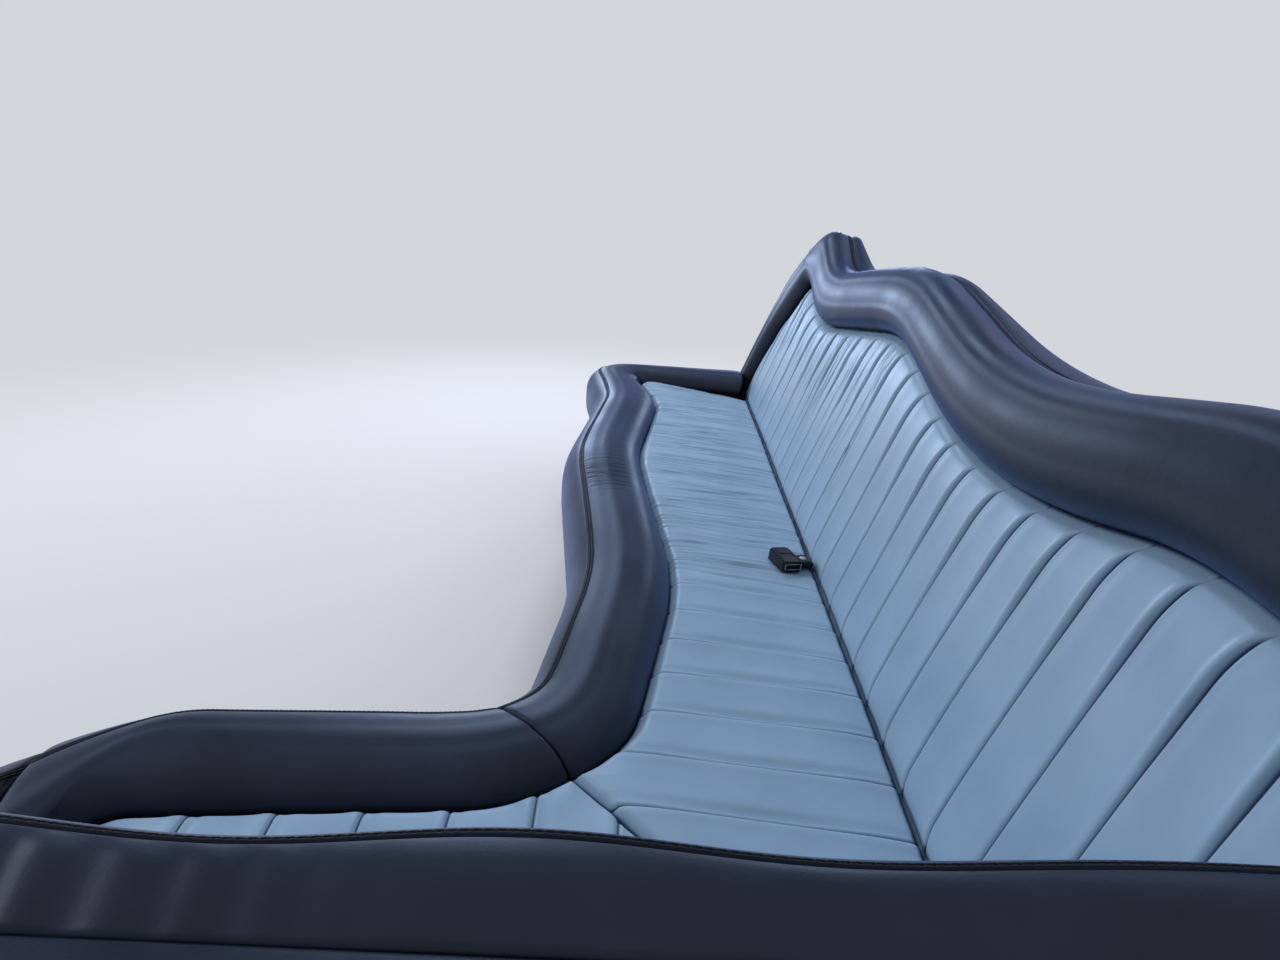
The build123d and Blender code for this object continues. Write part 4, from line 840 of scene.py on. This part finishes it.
# The slot's bright lip, a bent wire: an ellipse in line, cut off square at the slot's half width and height
SLOT_END, SLOT_HEIGHT, SLOT_HALF, LIP_ELLIPSE, WIRE = 30.1, 10, (15.2, 5.0), (20.9, 8.0), 0.7
lip_line = np.clip(LIP_ELLIPSE * circle(48), np.negative(SLOT_HALF), SLOT_HALF)
lip_ring = WIRE * circle(8)
lip_flat = lip_line[:, None] + lip_ring[None, :, :1] * unit(lip_line)[:, None]
lip = (buckle_middle + (SLOT_END + lip_ring[None, :, 1:]) * buckle_ahead
       + lip_flat[..., :1] * buckle_beside + (SLOT_HEIGHT + lip_flat[..., 1:]) * buckle_up)
slot_lip = closed_form("slot_lip", lip, joined=True)
paint(slot_lip, zinc)
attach(slot_lip, "root")

# Studio: a pale floor that runs out of sight, an even pale surround, six soft lamps and the camera at the
# photograph's place behind the partition, looking down the cabin.


def straight_rays(tree, share=1.0):
    """1 for the rays that come straight from the camera, `share` for those off a gloss or through glass."""
    path = add(tree, "ShaderNodeLightPath").outputs
    turned = reckon(tree, "MAXIMUM", path["Is Glossy Ray"], path["Is Transmission Ray"])
    return reckon(tree, "MAXIMUM", path["Is Camera Ray"], reckon(tree, "MULTIPLY", turned, share))


# The even tone behind the bench, as the camera and the glosses see it
BACKGROUND = linear("#d3d6da")
# The sheet's profile: flat from behind the camera, then a quarter circle, then upright. Its colour is pale
# as far up as the camera sees, dark grey above, as a cabin's ceiling is, and bluer at the top
SHEET_HALF, TURN_Y, TURN_RADIUS, SHEET_TOP = 60.0, 6.0, 4.0, 16.0
bend = np.linspace(0, np.pi / 2, 25)
profile = np.stack([TURN_Y + TURN_RADIUS * np.sin(bend), TURN_RADIUS - TURN_RADIUS * np.cos(bend)], 1)
profile = np.concatenate([[[-SHEET_HALF, 0.0]], profile, [[TURN_Y + TURN_RADIUS, SHEET_TOP]]])
across, along = np.meshgrid([-SHEET_HALF, SHEET_HALF], np.arange(len(profile)), indexing="ij")
left = np.arange(len(profile) - 1)
floor = faced("studio_sheet", np.stack([across, profile[along, 0], profile[along, 1] - 0.001], -1),
              np.stack([left, left + len(profile), left + len(profile) + 1, left + 1], 1))
floor_paint, tree, shader, spot = finish("pale_sheet", {"Roughness": 0.85, "Specular IOR Level": 0.2})
height = add(tree, "ShaderNodeSeparateXYZ", {0: spot}).outputs["Z"]
pale, dark = "#dcd8d3", "#4c5058"
tones(tree, shader, reckon(tree, "MULTIPLY", height, 2 / SHEET_TOP),
      [(0.0, pale), (0.18, pale), (0.38, dark), (0.65, dark), (0.95, "#93a3c4")])
# Away from the bench the sheet runs out into that even tone, for glosses only as far up as the camera sees.
# It does so between two distances, and between two heights, in metres
FADE_AWAY, FADE_UP = (1.6, 3.5), (1.5, 2.8)
flat = add(tree, "ShaderNodeVectorMath", {0: spot, 1: (1.0, 1.0, 0.0)}, operation="MULTIPLY")
apart = add(tree, "ShaderNodeVectorMath", {0: flat.outputs[0]}, operation="LENGTH")
away = ranged(tree, apart.outputs["Value"], 0.0, 1.0, *FADE_AWAY, interpolation_type="SMOOTHSTEP")
low = ranged(tree, height, 1.0, 0.0, *FADE_UP, interpolation_type="SMOOTHSTEP")
seen_share = reckon(tree, "MULTIPLY", straight_rays(tree, low), away)
even = add(tree, "ShaderNodeEmission", {"Color": BACKGROUND, "Strength": 1.0})
both = add(tree, "ShaderNodeMixShader", {0: seen_share, 1: shader.outputs[0], 2: even.outputs[0]})
tree.links.new(both.outputs[0], tree.nodes["Material Output"].inputs["Surface"])
paint(floor, floor_paint)

world = bpy.data.worlds.new("studio")
bpy.context.scene.world = world
world.use_nodes = True
tree = world.node_tree
surround_light = tree.nodes["Background"]
surround_light.inputs["Color"].default_value = linear("#dfe5f1")
surround_light.inputs["Strength"].default_value = 0.66
seen = add(tree, "ShaderNodeBackground", {"Color": BACKGROUND, "Strength": 1.0})
choice = add(tree, "ShaderNodeMixShader", {0: straight_rays(tree), 1: surround_light.outputs[0],
                                           2: seen.outputs[0]})
tree.links.new(choice.outputs[0], tree.nodes["World Output"].inputs["Surface"])


def lamp(name, place, aim, width, height, power, code):
    """A soft rectangular lamp in metres and watts, at `place`, turned towards `aim`."""
    light = bpy.data.lights.new(name, "AREA")
    light.shape, light.size, light.size_y, light.energy = "RECTANGLE", width, height, power
    light.color = linear(code)[:3]
    holder = placed(name, light)
    holder.location = place
    holder.rotation_mode = "QUATERNION"
    holder.rotation_quaternion = (Vector(aim) - Vector(place)).to_track_quat("-Z", "Y")
    return holder


# A large soft lamp for the open side's windows, a high one for the rear window, which shades the channels and
# wrinkles but puts no gloss on them, and a low one for the wall side's windows. Three small ones behind the
# bench put soft stripes on the rolls, and the camera doesn't see them
lamp("open_side_lamp", (-4.6, 0.8, 3.0), (0.3, 0.7, 0.4), 4.6, 2.0, 112, "#eef3ff")
lamp("rear_high_lamp", (0.3, 4.4, 4.4), (0.2, 0.0, 0.4), 1.8, 1.0, 140, "#eef3ff").visible_glossy = False
lamp("wall_side_lamp", (1.9, 1.3, 1.9), (0.1, 0.1, 0.4), 2.4, 0.7, 6, "#e6eeff")
for name, place, width, height, power in (("rear_roof_lamp", (-0.9, 4.4, 3.6), 1.4, 0.8, 45),
                                          ("rear_left_lamp", (-1.1, 4.6, 1.05), 1.2, 0.7, 30),
                                          ("rear_right_lamp", (1.5, 4.6, 1.4), 0.7, 0.5, 13)):
    lamp(name, place, (0.1, 0.2, 0.4), width, height, power, "#c6deff").visible_camera = False

# The camera's place in metres, its lens in millimetres, and its turn from a level look down the cabin
EYE, LENS = (0.087, -1.484, 1.0), 24.95
YAW, PITCH, TILT = radians(0.53), radians(20.48), radians(3.02)
ahead = Vector((sin(YAW) * cos(PITCH), cos(YAW) * cos(PITCH), -sin(PITCH)))
level = Vector((cos(YAW), -sin(YAW), 0.0))
down = ahead.cross(level)
right = level * cos(TILT) - down * sin(TILT)
up = -(level * sin(TILT) + down * cos(TILT))
camera = placed("camera", bpy.data.cameras.new("camera"))
camera.data.sensor_width, camera.data.lens = 36.0, LENS
turned = Matrix((right, up, -ahead)).transposed().to_4x4()
camera.matrix_world = Matrix.Translation(EYE) @ turned
bpy.context.scene.camera = camera
bpy.context.scene.view_settings.view_transform = "Standard"
